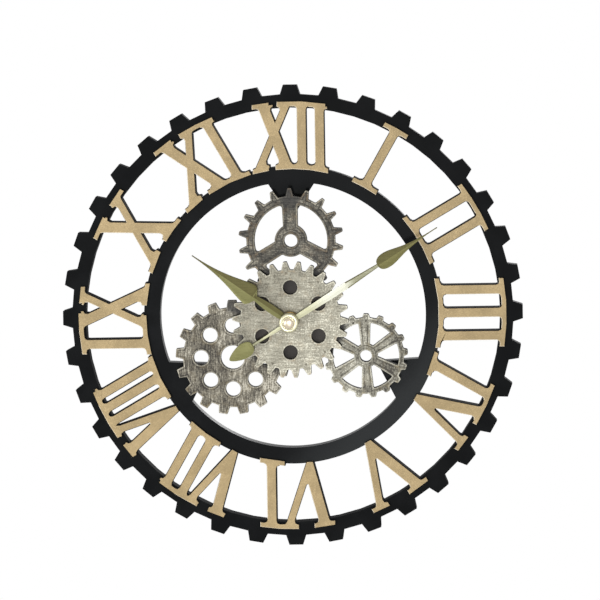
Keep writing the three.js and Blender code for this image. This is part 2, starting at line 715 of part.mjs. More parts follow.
function hangerPlate() {
  const half = HANGER_SLOT_LENGTH / 2 - 1;
  const low = hangerMiddle - HANGER_SLOT_HEIGHT / 2;
  const high = low + HANGER_SLOT_HEIGHT;
  const pitch = (2 * half) / HANGER_NOTCHES;
  const notched = [new THREE.Vector2(-half, low), new THREE.Vector2(half, low)];
  for (let i = 0; i < HANGER_NOTCHES; i += 1) {
    notched.push(new THREE.Vector2(half - i * pitch, high - HANGER_NOTCH_DEPTH));
    notched.push(new THREE.Vector2(half - (i + 0.5) * pitch, high));
  }
  notched.push(new THREE.Vector2(-half, high - HANGER_NOTCH_DEPTH));
  const bottom = hangerMiddle - HANGER_HEIGHT / 2;
  const outline = rectanglePoints(-HANGER_LENGTH / 2, bottom, HANGER_LENGTH / 2, bottom + HANGER_HEIGHT);
  const plate = slab(rounded(outline, 2, 2), STACK_GAP, hangerFloor, [notched]);
  return cut(plate, countersink(-1), countersink(1));
}

function hangerScrew(side) {
  const wide = HANGER_SCREW_RADIUS + HANGER_SCREW_SPREAD;
  const tip = STACK_GAP + HANGER_SCREW_LENGTH;
  return turned([[0, STACK_GAP], [wide, STACK_GAP], [HANGER_SCREW_RADIUS, hangerFloor],
    [HANGER_SCREW_RADIUS, tip - HANGER_SCREW_RADIUS], [0, tip]], SCREW_STEPS, hangerScrewPoint(side));
}

// Hub stack on the threaded bush

function bushRing(radius, bottom, top, steps = 16) {
  return slab(circlePoints(radius, steps), bottom, top, [circlePoints(BUSH_RADIUS + BORE_PLAY, 16)]);
}

function fixingNut() {
  const corner = NUT_ACROSS_FLATS / 2 / Math.cos(Math.PI / 6);
  return bushRing(corner, washerFront, nutFront, 6);
}

// Hands

// Mirrors the right side of an outline, which runs from the hub outwards along y
function mirrored(rightSide) {
  const leftSide = rightSide.filter((p) => p.x > 1e-6).map((p) => new THREE.Vector2(-p.x, p.y)).reverse();
  return [...rightSide, ...leftSide];
}

// One side of a leaf, from its neck along a flank to the widest place and along a taper to the tip.
// Controls are shares of the half width and of the way along the flank or the taper.
function leafSide({ start, wide, end, width, flank, taper }, neckWidth) {
  const side = (from, to, controls, near, far) => new THREE.CubicBezierCurve(
    new THREE.Vector2(near, from),
    ...controls.map(([across, along]) => new THREE.Vector2((across * width) / 2, from + along * (to - from))),
    new THREE.Vector2(far, to),
  );
  const flankCurve = side(start, wide, flank, neckWidth / 2, width / 2);
  const taperCurve = side(wide, end, taper, width / 2, 0);
  return [...flankCurve.getPoints(4), ...taperCurve.getPoints(7).slice(1)];
}

// A flat outline whose front is folded into two facets that meet on a ridge along y
function ridged(outline, back, slope) {
  const ys = outline.map((p) => p.y);
  const half = Math.max(...outline.map((p) => p.x));
  const reach = half + 1;
  const ridge = back + HAND_EDGE + slope * half;
  const eave = back + HAND_EDGE - slope;
  const roof = drawn([[-reach, back - 1], [reach, back - 1], [reach, eave], [0, ridge], [-reach, eave]],
    Math.min(...ys) - 1, Math.max(...ys) + 1);
  return slab(outline, back, ridge + 1).intersect(roof);
}

const tubeInside = MINUTE_ARBOR_RADIUS + TUBE_PLAY;
const tubeOutside = tubeInside + HOUR_TUBE_WALL;

function handBoss(back, bore) {
  return turned([[bore, back], [HAND_BOSS_RADIUS, back], [HAND_BOSS_RADIUS, back + HAND_EDGE],
    [HAND_BOSS_RADIUS - 1, back + HAND_BOSS_HEIGHT], [bore, back + HAND_BOSS_HEIGHT]], 16);
}

function boreThrough(bore, back) {
  return disc(bore, back - 1, back + HAND_BOSS_HEIGHT + 4, 16);
}

const minuteAngle = 6 * SHOWN_MINUTE;
const hourAngle = 30 * SHOWN_HOUR + SHOWN_MINUTE / 2;

function hourHand() {
  const neck = HOUR_NECK_WIDTH / 2;
  const { start } = HOUR_LEAF;
  const stemCurve = new THREE.QuadraticBezierCurve(new THREE.Vector2(neck, 2),
    new THREE.Vector2(HOUR_STEM_WIDTH - neck, 0.5 * start), new THREE.Vector2(neck, start + 1));
  const stem = mirrored(stemCurve.getPoints(5));
  const leaf = mirrored(leafSide(HOUR_LEAF, HOUR_NECK_WIDTH - LEAF_INSET));
  const bore = tubeOutside + TUBE_PLAY;
  const hand = join(
    ridged(stem, hourHandBack, STEM_RIDGE_SLOPE),
    ridged(leaf, hourHandBack, LEAF_RIDGE_SLOPE),
    handBoss(hourHandBack, bore),
  );
  return cut(hand, boreThrough(bore, hourHandBack));
}

function minuteHand() {
  const shaft = mirrored(toPoints([
    [TAIL_SHAFT_AT_LEAF / 2, -TAIL_LEAF.start - 1], [TAIL_SHAFT_AT_HUB / 2, -SHAFT_SHOULDER],
    [MINUTE_SHAFT_AT_HUB / 2, SHAFT_SHOULDER], [MINUTE_SHAFT_AT_LEAF / 2, MINUTE_LEAF.start + 1],
  ]));
  const leaf = mirrored(leafSide(MINUTE_LEAF, MINUTE_SHAFT_AT_LEAF - LEAF_INSET));
  const tail = mirrored(leafSide(TAIL_LEAF, TAIL_SHAFT_AT_LEAF - LEAF_INSET));
  const bore = MINUTE_ARBOR_RADIUS + TUBE_PLAY;
  const hand = join(
    ridged(shaft, minuteHandBack, SHAFT_RIDGE_SLOPE),
    ridged(leaf, minuteHandBack, LEAF_RIDGE_SLOPE),
    ridged(turnedOutline(tail, 180), minuteHandBack, LEAF_RIDGE_SLOPE),
    handBoss(minuteHandBack, bore),
  );
  return cut(hand, boreThrough(bore, minuteHandBack));
}

function capNut() {
  const bore = MINUTE_ARBOR_RADIUS + TUBE_PLAY;
  const boreEnd = minuteArborFront + STACK_GAP;
  const dome = Array.from({ length: DOME_STEPS }, (_, i) => {
    const turn = (i / DOME_STEPS) * (Math.PI / 2);
    return [CAP_RADIUS * Math.cos(turn), minuteHandFront + CAP_RIM + (CAP_HEIGHT - CAP_RIM) * Math.sin(turn)];
  });
  return turned([[bore, minuteHandFront], [CAP_RADIUS, minuteHandFront], ...dome,
    [0, minuteHandFront + CAP_HEIGHT], [0, boreEnd], [bore, boreEnd]], 16);
}

// Movement: wheels of the train

function toothed({ teeth, module }, { tip, root }) {
  const pitchRadius = (teeth * module) / 2;
  const tipRadius = pitchRadius + ADDENDUM * module;
  const rootRadius = pitchRadius - DEDENDUM * module;
  return {
    teeth,
    tip: tipRadius,
    tooth: tipRadius - rootRadius,
    tipWidth: (tip * TURN * tipRadius) / teeth,
    baseWidth: (root * TURN * rootRadius) / teeth,
  };
}

// The phase that puts a second gear in mesh with a first, seen along the bearing from first to second
function meshPhase(firstTeeth, firstPhase, bearing, secondTeeth) {
  const lead = firstPhase - rad(bearing);
  return rad(bearing) + Math.PI - (lead * firstTeeth) / secondTeeth + Math.PI / secondTeeth;
}

const spacingOf = (first, second, module) => ((first + second) * module) / 2;
const tipOf = (teeth, module) => (teeth / 2 + ADDENDUM) * module;

const centreSpacing = spacingOf(PINION_LEAVES, CENTRE_WHEEL_TEETH, CENTRE_MODULE);
const thirdModule = (2 * centreSpacing) / (PINION_LEAVES + THIRD_WHEEL_TEETH);
const thirdPoint = bearingPoint(centreSpacing, THIRD_BEARING);
const stepSpacing = spacingOf(PINION_LEAVES, SECONDS_WHEEL_TEETH, SECONDS_MODULE);
const stepPoint = bearingPoint(stepSpacing, STEP_BEARING);
const rotorSpacing = spacingOf(PINION_LEAVES, STEP_WHEEL_TEETH, STEP_MODULE);
const rotorPoint = bearingPoint(rotorSpacing, ROTOR_BEARING).add(stepPoint);
const motionSpacing = spacingOf(CANNON_LEAVES, MOTION_WHEEL_TEETH, CANNON_MODULE);
const hourModule = (2 * motionSpacing) / (MOTION_PINION_LEAVES + HOUR_WHEEL_TEETH);
const motionPoint = bearingPoint(motionSpacing, MOTION_BEARING);
const knobSpacing = spacingOf(KNOB_LEAVES, MOTION_WHEEL_TEETH, CANNON_MODULE);
const knobPoint = bearingPoint(knobSpacing, KNOB_BEARING).add(motionPoint);

// Heights of the train, from the back cover forwards
const coverFront = COVER_THICKNESS;
const secondsWheelBack = coverFront + WHEEL_SPACING;
const secondsWheelFront = secondsWheelBack + WHEEL_THICKNESS;
const thirdWheelBack = secondsWheelFront + WHEEL_SPACING;
const thirdWheelFront = thirdWheelBack + WHEEL_THICKNESS;
const stepWheelBack = thirdWheelFront + WHEEL_SPACING;
const stepWheelFront = stepWheelBack + WHEEL_THICKNESS;
const centreWheelBack = stepWheelFront + WHEEL_SPACING;
const centreWheelFront = centreWheelBack + WHEEL_THICKNESS;
const plateBack = centreWheelFront + WHEEL_SPACING;
const plateFront = plateBack + PLATE_THICKNESS;
const motionWheelBack = plateFront + 2 * WHEEL_SPACING;
const motionWheelFront = motionWheelBack + WHEEL_THICKNESS;
const hourWheelBack = motionWheelFront + 2 * WHEEL_SPACING;
const hourWheelFront = hourWheelBack + WHEEL_THICKNESS;
const pivotBack = coverFront - PIVOT_DEPTH;
const pivotFront = plateFront - STACK_GAP;

function gearSlab(gear, shares, phase, bottom, top, bore) {
  const holes = bore ? [circlePoints(bore, BORE_STEPS)] : [];
  return slab(gearOutline(toothed(gear, shares), phase), bottom, top, holes);
}

const pivotBore = ARBOR_RADIUS + ARBOR_PLAY;
const arbor = (bottom, top) => disc(ARBOR_RADIUS, bottom, top, PIVOT_STEPS);

const centreWheelPhase = rad(THIRD_BEARING);
const thirdPinionPhase = meshPhase(CENTRE_WHEEL_TEETH, centreWheelPhase, THIRD_BEARING, PINION_LEAVES);
const thirdWheelPhase = rad(THIRD_BEARING);
const secondsPinionPhase = meshPhase(THIRD_WHEEL_TEETH, thirdWheelPhase, THIRD_BEARING + 180, PINION_LEAVES);
const secondsWheelPhase = rad(STEP_BEARING);
const stepPinionPhase = meshPhase(SECONDS_WHEEL_TEETH, secondsWheelPhase, STEP_BEARING, PINION_LEAVES);
const stepWheelPhase = rad(ROTOR_BEARING);
const rotorPinionPhase = meshPhase(STEP_WHEEL_TEETH, stepWheelPhase, ROTOR_BEARING, PINION_LEAVES);
const motionWheelPhase = rad(MOTION_BEARING);
const cannonPhase = meshPhase(MOTION_WHEEL_TEETH, motionWheelPhase, MOTION_BEARING + 180, CANNON_LEAVES);
const motionPinionPhase = rad(MOTION_BEARING);
const hourWheelPhase =
  meshPhase(MOTION_PINION_LEAVES, motionPinionPhase, MOTION_BEARING + 180, HOUR_WHEEL_TEETH);
const knobPhase = meshPhase(MOTION_WHEEL_TEETH, motionWheelPhase, KNOB_BEARING, KNOB_LEAVES);

function secondsWheel() {
  return join(
    gearSlab({ teeth: SECONDS_WHEEL_TEETH, module: SECONDS_MODULE }, WHEEL_TEETH, secondsWheelPhase,
      secondsWheelBack, secondsWheelFront),
    gearSlab({ teeth: PINION_LEAVES, module: thirdModule }, LEAF_TEETH, secondsPinionPhase,
      secondsWheelFront, thirdWheelFront + LEAF_REACH),
    arbor(pivotBack + ARBOR_PLAY, centreWheelBack),
  );
}

function thirdWheel() {
  return join(
    gearSlab({ teeth: THIRD_WHEEL_TEETH, module: thirdModule }, WHEEL_TEETH, thirdWheelPhase,
      thirdWheelBack, thirdWheelFront),
    gearSlab({ teeth: PINION_LEAVES, module: CENTRE_MODULE }, LEAF_TEETH, thirdPinionPhase,
      thirdWheelFront, centreWheelFront + LEAF_REACH),
    arbor(pivotBack + ARBOR_PLAY, pivotFront),
  );
}

function stepWheel() {
  return join(
    gearSlab({ teeth: STEP_WHEEL_TEETH, module: STEP_MODULE }, WHEEL_TEETH, stepWheelPhase,
      stepWheelBack, stepWheelFront),
    gearSlab({ teeth: PINION_LEAVES, module: SECONDS_MODULE }, LEAF_TEETH, stepPinionPhase,
      secondsWheelBack - LEAF_REACH, stepWheelBack),
    arbor(pivotBack + ARBOR_PLAY, pivotFront),
  );
}

function rotor() {
  const magnetBack = stepWheelFront + 0.5 * WHEEL_SPACING;
  return join(
    gearSlab({ teeth: PINION_LEAVES, module: STEP_MODULE }, LEAF_TEETH, rotorPinionPhase,
      stepWheelBack - LEAF_REACH, magnetBack),
    disc(ROTOR_RADIUS, magnetBack, plateBack - STACK_GAP, BORE_STEPS),
    arbor(pivotBack + ARBOR_PLAY, pivotFront),
  );
}

// The centre wheel grips the minute arbor by friction alone, so that the hands can be set
function centreWheel() {
  return gearSlab({ teeth: CENTRE_WHEEL_TEETH, module: CENTRE_MODULE }, WHEEL_TEETH, centreWheelPhase,
    centreWheelBack, centreWheelFront, MINUTE_ARBOR_RADIUS + TUBE_PLAY);
}

function minuteArbor() {
  const cannon = gearSlab({ teeth: CANNON_LEAVES, module: CANNON_MODULE }, LEAF_TEETH, cannonPhase,
    plateFront + WHEEL_SPACING, motionWheelFront + LEAF_REACH);
  const shaftBack = stepWheelFront + 0.5 * WHEEL_SPACING;
  const shaft = disc(MINUTE_ARBOR_RADIUS, shaftBack, minuteArborFront, BORE_STEPS);
  const backBore = disc(pivotBore, shaftBack - 1, centreWheelFront, PIVOT_STEPS);
  return cut(join(cannon, shaft), backBore);
}

function motionWheel() {
  const bore = MOTION_STUD_RADIUS + ARBOR_PLAY;
  return join(
    gearSlab({ teeth: MOTION_WHEEL_TEETH, module: CANNON_MODULE }, WHEEL_TEETH, motionWheelPhase,
      motionWheelBack, motionWheelFront, bore),
    gearSlab({ teeth: MOTION_PINION_LEAVES, module: hourModule }, LEAF_TEETH, motionPinionPhase,
      motionWheelFront, hourWheelFront + LEAF_REACH, bore),
  );
}

function hourWheel() {
  return join(
    gearSlab({ teeth: HOUR_WHEEL_TEETH, module: hourModule }, WHEEL_TEETH, hourWheelPhase,
      hourWheelBack, hourWheelFront, tubeInside),
    slab(circlePoints(tubeOutside, 16), hourWheelBack, hourTubeFront, [circlePoints(tubeInside, BORE_STEPS)]),
  );
}

// The hand setting knob: a fluted thumbwheel in the back cover, on a shaft that reaches the motion wheel
const knobBack = STACK_GAP;
const knobPivotFront = chamberFront - RUN_CLEARANCE;
const pinionBack = motionWheelBack - LEAF_REACH;
const pinionFront = motionWheelFront + LEAF_REACH;

function settingKnob() {
  const flute = (0.28 * TURN * KNOB_RADIUS) / KNOB_FLUTES;
  const rim = { teeth: KNOB_FLUTES, tip: KNOB_RADIUS, tooth: 0.5, tipWidth: flute, baseWidth: 1.7 * flute };
  return join(
    slab(gearOutline(rim, 0), knobBack, knobBack + KNOB_THICKNESS),
    disc(KNOB_SHAFT_RADIUS, knobBack + KNOB_THICKNESS, pinionBack, BORE_STEPS),
    gearSlab({ teeth: KNOB_LEAVES, module: CANNON_MODULE }, LEAF_TEETH, knobPhase, pinionBack, pinionFront),
    disc(KNOB_PIVOT_RADIUS, pinionFront, knobPivotFront, PIVOT_STEPS),
  );
}

// Movement: case, cover and plate

const hourWheelTip = tipOf(HOUR_WHEEL_TEETH, hourModule);
const chamberBottom = -(Math.max(hourWheelTip, tipOf(CENTRE_WHEEL_TEETH, CENTRE_MODULE)) + RUN_CLEARANCE);
const bayTop = chamberBottom - CASE_PARTITION;
const bayBottom = bayTop - BATTERY_DIAMETER - 2 * BATTERY_PLAY;
const caseHalfHeight = -bayBottom + CASE_WALL;
const bayHalfLength = BATTERY_LENGTH / 2 + CONTACT_PLAY + CONTACT_THICKNESS;
const caseHalfWidth = bayHalfLength + CASE_END_WALL;
const chamberHalfWidth = caseHalfWidth - CASE_WALL - COVER_LEDGE;
const chamberTop = caseHalfHeight - CASE_WALL - COVER_LEDGE;
const batteryMiddle = new THREE.Vector3(0, (bayTop + bayBottom) / 2, STACK_GAP + BATTERY_DIAMETER / 2);

// Pillars of the case that carry the train plate, at the chamber's corners
const pillarPoints = [[-1, 0], [1, 0], [-1, 1], [1, 1]].map(([side, up]) => new THREE.Vector2(
  side * (chamberHalfWidth - PILLAR_HALF),
  up ? chamberTop - PILLAR_HALF : chamberBottom + PILLAR_HALF,
));

function movementCase() {
  const outline = rectanglePoints(-caseHalfWidth, -caseHalfHeight, caseHalfWidth, caseHalfHeight);
  const shell = slab(rounded(outline, CASE_CORNER), 0, caseFront);
  const chamber = slab(rectanglePoints(-chamberHalfWidth, chamberBottom, chamberHalfWidth, chamberTop),
    -1, chamberFront);
  const mouth = slab(rectanglePoints(-chamberHalfWidth - COVER_LEDGE, chamberBottom - COVER_LEDGE,
    chamberHalfWidth + COVER_LEDGE, chamberTop + COVER_LEDGE), -1, coverFront);
  const bay = slab(rectanglePoints(-bayHalfLength, bayBottom, bayHalfLength, bayTop), -1, chamberFront);
  const pillarReach = PILLAR_HALF + BORE_PLAY;
  const pillars = pillarPoints.map((p) => slab(
    rectanglePoints(p.x - pillarReach, p.y - pillarReach, p.x + pillarReach, p.y + pillarReach),
    plateFront, chamberFront + JOIN_LAP,
  ));
  const bush = disc(BUSH_RADIUS, caseFront - JOIN_LAP, bushFront, 16);
  const bore = disc(tubeOutside + TUBE_PLAY, chamberFront - 1, bushFront + 1, 16);
  const knobBoss = disc(KNOB_PIVOT_RADIUS + CASE_WALL, knobPivotFront - KNOB_BOSS_HEIGHT,
    chamberFront + JOIN_LAP, BORE_STEPS, knobPoint);
  const knobBore = disc(KNOB_PIVOT_RADIUS + ARBOR_PLAY, pinionFront, knobPivotFront + STACK_GAP, PIVOT_STEPS,
    knobPoint);
  return cut(join(cut(shell, chamber, mouth, bay), ...pillars, bush, knobBoss), bore, knobBore);
}

const boardLeft = chamberHalfWidth - BOARD_LENGTH - 2 * BORE_PLAY;
const boardBottom = chamberBottom + 2 * BORE_PLAY;
const boardBack = coverFront + BOARD_LIFT;
const boardFront = boardBack + BOARD_THICKNESS;
const crystalMiddle = new THREE.Vector3(boardLeft + 0.6 * BOARD_LENGTH, boardBottom + 0.3 * BOARD_WIDTH,
  boardFront + CRYSTAL_RADIUS);

function movementCover() {
  const reach = COVER_LEDGE - COVER_PLAY;
  const plate = slab(rectanglePoints(-chamberHalfWidth - reach, chamberBottom - reach,
    chamberHalfWidth + reach, chamberTop + reach), 0, coverFront);
  const knobHole = disc(KNOB_RADIUS + RUN_CLEARANCE, -1, coverFront + 1, 20, knobPoint);
  const pivotHole = (point) => disc(pivotBore, pivotBack, coverFront + 1, PIVOT_STEPS, point);
  const pivots = [new THREE.Vector2(), thirdPoint, stepPoint, rotorPoint].map(pivotHole);
  const standPoint = (share) => new THREE.Vector2(boardLeft + share * BOARD_LENGTH,
    boardBottom + BOARD_WIDTH / 2);
  const stands = [0.2, 0.8].map((share) => disc(BOARD_STAND_RADIUS, coverFront - JOIN_LAP, boardBack,
    PIVOT_STEPS, standPoint(share)));
  return join(cut(plate, knobHole, ...pivots), ...stands);
}

// The stator's two arms reach from the rotor to the ends of the coil's core
const coilHalf = COIL_LENGTH / 2;
const armInner = coilHalf + STACK_GAP;
const armOuter = armInner + STATOR_ARM_WIDTH;
const coilMiddle = chamberHalfWidth - RUN_CLEARANCE - armOuter;
const statorBack = plateBack - STATOR_THICKNESS;
const coilPlace = new THREE.Vector3(coilMiddle, COIL_HEIGHT, statorBack - STATOR_THICKNESS / 2);

function trainPlate() {
  const play = BORE_PLAY;
  const outline = rectanglePoints(-chamberHalfWidth + play, chamberBottom + play,
    chamberHalfWidth - play, chamberTop - play);
  const window = rectanglePoints(coilMiddle - armInner + play, COIL_HEIGHT - COIL_RADIUS - RUN_CLEARANCE,
    coilMiddle + armInner - play, COIL_HEIGHT + COIL_RADIUS + RUN_CLEARANCE);
  const plate = slab(outline, plateBack, plateFront, [
    window,
    circlePoints(MINUTE_ARBOR_RADIUS + TUBE_PLAY, BORE_STEPS),
    circlePoints(KNOB_SHAFT_RADIUS + ARBOR_PLAY, BORE_STEPS, knobPoint),
    ...[thirdPoint, stepPoint, rotorPoint].map((p) => circlePoints(pivotBore, PIVOT_STEPS, p)),
  ]);
  const studFront = hourWheelFront + 2 * WHEEL_SPACING;
  const stud = disc(MOTION_STUD_RADIUS, plateFront - JOIN_LAP, studFront, BORE_STEPS, motionPoint);
  return join(plate, stud);
}

function stator() {
  const poleReach = ROTOR_RADIUS + ROTOR_AIR_GAP + STATOR_RIM;
  const bottom = rotorPoint.y - poleReach;
  const shoulder = rotorPoint.y + poleReach;
  const left = rotorPoint.x - poleReach;
  const right = rotorPoint.x + poleReach;
  const armTop = COIL_HEIGHT + COIL_CORE_WIDTH;
  const knee = COIL_HEIGHT - COIL_RADIUS - RUN_CLEARANCE - 1;
  const outline = toPoints([
    [left, bottom], [right, bottom], [right, shoulder - 1], [coilMiddle + armOuter, knee],
    [coilMiddle + armOuter, armTop], [coilMiddle + armInner, armTop], [coilMiddle + armInner, knee + 1],
    [right - STATOR_RIM, shoulder + 1], [left + STATOR_RIM, shoulder + 1], [coilMiddle - armInner, knee + 1],
    [coilMiddle - armInner, armTop], [coilMiddle - armOuter, armTop], [coilMiddle - armOuter, knee],
    [left, shoulder - 1],
  ]);
  const bore = circlePoints(ROTOR_RADIUS + ROTOR_AIR_GAP, BORE_STEPS, rotorPoint);
  return slab(outline, statorBack, plateBack, [bore]);
}

// Coil: a wound bobbin between two flanges, on a flat core whose ends lie behind the stator's arms
function coil() {
  const flange = 0.8;
  const wound = COIL_RADIUS - 0.5;
  const spool = turned([[0, -coilHalf], [COIL_RADIUS, -coilHalf], [COIL_RADIUS, flange - coilHalf],
    [wound, flange - coilHalf], [wound, coilHalf - flange], [COIL_RADIUS, coilHalf - flange],
    [COIL_RADIUS, coilHalf], [0, coilHalf]], BORE_STEPS);
  const core = slab(rectanglePoints(-STATOR_THICKNESS / 2, -COIL_CORE_WIDTH / 2, STATOR_THICKNESS / 2,
    COIL_CORE_WIDTH / 2), BORE_PLAY - armOuter, armOuter - BORE_PLAY);
  return join(spool, core);
}

function circuitBoard() {
  return slab(rectanglePoints(boardLeft, boardBottom, boardLeft + BOARD_LENGTH, boardBottom + BOARD_WIDTH),
    boardBack, boardFront);
}

// The crystal's can is drawn along its own axis, with a flat of its section turned to the board
function quartzCrystal() {
  const steps = 10;
  const section = circlePoints(CRYSTAL_RADIUS / Math.cos(Math.PI / steps), steps)
    .map((p) => p.rotateAround(new THREE.Vector2(), Math.PI / steps));
  return slab(section, -CRYSTAL_LENGTH / 2, CRYSTAL_LENGTH / 2);
}

function battery() {
  const half = BATTERY_LENGTH / 2;
  const shoulder = half - BATTERY_NUB_LENGTH;
  const radius = BATTERY_DIAMETER / 2;
  const edge = 0.6;
  return turned([[0, -half], [radius - edge, -half], [radius, edge - half], [radius, shoulder - edge],
    [radius - edge, shoulder], [BATTERY_NUB_RADIUS, shoulder], [BATTERY_NUB_RADIUS, half], [0, half]], 20);
}

// A contact is a flat strip against the end wall with a pressed dome that reaches the cell
function batteryContact() {
  const wallFace = bayHalfLength - BATTERY_PLAY / 2;
  const inner = bayHalfLength - CONTACT_THICKNESS;
  const reach = BATTERY_LENGTH / 2 + ARBOR_PLAY;
  const half = CONTACT_WIDTH / 2;
  const strip = slab(rectanglePoints(-half, -half, half, half), inner, wallFace);
  const dome = turned([[0, reach], [1.6, reach], [2.6, inner + 0.1], [0, inner + 0.1]], PIVOT_STEPS);
  return join(strip, dome);
}

// Assembly

addPiece('outer_ring', outerRing(), satinBlack);
addPiece('inner_ring', innerRing(), satinBlack);
Object.entries(NUMERALS).forEach(([name, layout], i) => {
  addPiece(`numeral_${name}`, numeral(layout), tanGold, { clockwise: 30 * (i + 1) });
});

addPiece('hub_plate', hubPlate(), satinBlack);
addPiece('centre_gear', centreGear(), paleSteel);
addPiece('top_gear', spokedGear(TOP_GEAR, TOP_SPOKES, 8), pewter, { place: TOP_GEAR_CENTRE });
addPiece('left_gear', leftGear(), pewter, { place: LEFT_GEAR_CENTRE });
addPiece('right_gear', spokedGear(RIGHT_GEAR, RIGHT_SPOKES, 3), pewter, { place: RIGHT_GEAR_CENTRE });
Object.entries(posts).forEach(([name, point]) => {
  addPiece(`${name}_gear_post`, gearPost(point), zincSteel);
  addPiece(`${name}_post_screw`, postScrew(point), zincSteel);
});

addPiece('hanger_plate', hangerPlate(), zincSteel);
addPiece('hanger_screw_left', hangerScrew(-1), zincSteel);
addPiece('hanger_screw_right', hangerScrew(1), zincSteel);

addPiece('movement_case', movementCase(), blackPlastic);
addPiece('movement_cover', movementCover(), blackPlastic);
addPiece('train_plate', trainPlate(), whitePlastic);
addPiece('spacer_collar', bushRing(BUSH_RADIUS + COLLAR_WALL, caseFront, gearFront), rubber);
addPiece('fixing_washer', bushRing(NUT_ACROSS_FLATS / 2 + 0.6, centreGearFront, washerFront), brass);
addPiece('fixing_nut', fixingNut(), brass);
addPiece('battery', battery(), cellSleeve, { place: batteryMiddle, lie: 1 });
addPiece('battery_contact_plus', batteryContact(), zincSteel, { place: batteryMiddle, lie: 1 });
addPiece('battery_contact_minus', batteryContact(), zincSteel, { place: batteryMiddle, lie: -1 });
addPiece('circuit_board', circuitBoard(), boardGreen);
addPiece('quartz_crystal', quartzCrystal(), zincSteel, { place: crystalMiddle, lie: 1 });
addPiece('coil', coil(), copper, { place: coilPlace, lie: 1 });
addPiece('stator', stator(), zincSteel);
addPiece('rotor', rotor(), magnet, { place: rotorPoint });
addPiece('step_wheel', stepWheel(), whitePlastic, { place: stepPoint });
addPiece('seconds_wheel', secondsWheel(), whitePlastic);
addPiece('third_wheel', thirdWheel(), whitePlastic, { place: thirdPoint });
addPiece('centre_wheel', centreWheel(), whitePlastic);
addPiece('minute_arbor', minuteArbor(), brass);
addPiece('motion_wheel', motionWheel(), whitePlastic, { place: motionPoint });
addPiece('hour_wheel', hourWheel(), whitePlastic);
addPiece('setting_knob', settingKnob(), blackPlastic, { place: knobPoint });

addPiece('hour_hand', hourHand(), oliveGold, { clockwise: hourAngle });
addPiece('minute_hand', minuteHand(), oliveGold, { clockwise: minuteAngle });
addPiece('cap_nut', capNut(), brightGold);

const clock = new THREE.Group();
clock.name = 'gear_wall_clock';
clock.add(bench);

export default clock;
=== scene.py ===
# Gear wall clock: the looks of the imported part
import math
from functools import partialmethod

import bmesh
import bpy
from mathutils import Matrix, Vector


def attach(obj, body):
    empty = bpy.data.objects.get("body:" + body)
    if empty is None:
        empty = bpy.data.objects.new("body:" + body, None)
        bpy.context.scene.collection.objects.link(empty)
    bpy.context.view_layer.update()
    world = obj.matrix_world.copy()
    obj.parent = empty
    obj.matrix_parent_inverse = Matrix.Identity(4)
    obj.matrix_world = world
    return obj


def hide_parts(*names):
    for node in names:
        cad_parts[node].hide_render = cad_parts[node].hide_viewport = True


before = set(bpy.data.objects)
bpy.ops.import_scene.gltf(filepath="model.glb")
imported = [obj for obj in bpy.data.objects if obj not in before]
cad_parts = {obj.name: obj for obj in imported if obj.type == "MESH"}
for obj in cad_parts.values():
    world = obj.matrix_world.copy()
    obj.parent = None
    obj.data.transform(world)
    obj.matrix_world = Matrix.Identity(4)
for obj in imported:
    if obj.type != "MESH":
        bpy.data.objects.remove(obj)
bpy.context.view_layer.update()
scene = bpy.context.scene
MM = 0.001

# Heights above the wall, in millimetres
RING_FRONT = 6.0
HOUR_BACK, MINUTE_BACK = 31.4, 33.9
CAP_BACK, CAP_HEIGHT = 35.8, 5.6

# Radius of the numerals' outer ends, half the length of the cell, and the chords of the inner ring, in millimetres
NUMERAL_END = 165.0
CELL_HALF = 24.6
RING_CHORD = 3.0

# Roundings of edges, in millimetres
RING_ROUNDING, NUMERAL_ROUNDING, GEAR_ROUNDING, HAND_ROUNDING = 0.9, 0.55, 0.45, 0.12

# How far a face's normal leans to the front: more than FRONT is flat, from EDGE to FRONT is rounded
EDGE, WALL, FRONT = 0.2, 0.5, 0.97

# Floor, in metres, the light of the room, and lamps: where each stands, its size in metres and its power in watts
FLOOR_LEVEL, FLOOR_HALF = -0.62, 0.75
ROOM_LIGHT = 0.36
LAMPS = {
    "key": ((0.05, -1.9, 0.02), 0.2, 16),
    "left": ((-0.9, -0.9, -0.05), 0.6, 6),
    "low": ((0.06, -1.2, -0.5), 0.5, 1),
    "rear": ((0.7, 1.6, 0.8), 1.0, 22),
}

# Camera: its back stays parallel to the dial, as on a view camera
CAMERA_DISTANCE = 1.3
CAMERA_UP, CAMERA_RIGHT = 0.21, 0.11
DIAL_ROLL = 0.85
VIEW_WIDTH = 0.5217
AIM_X, AIM_Z = 0.00631, 0.01272

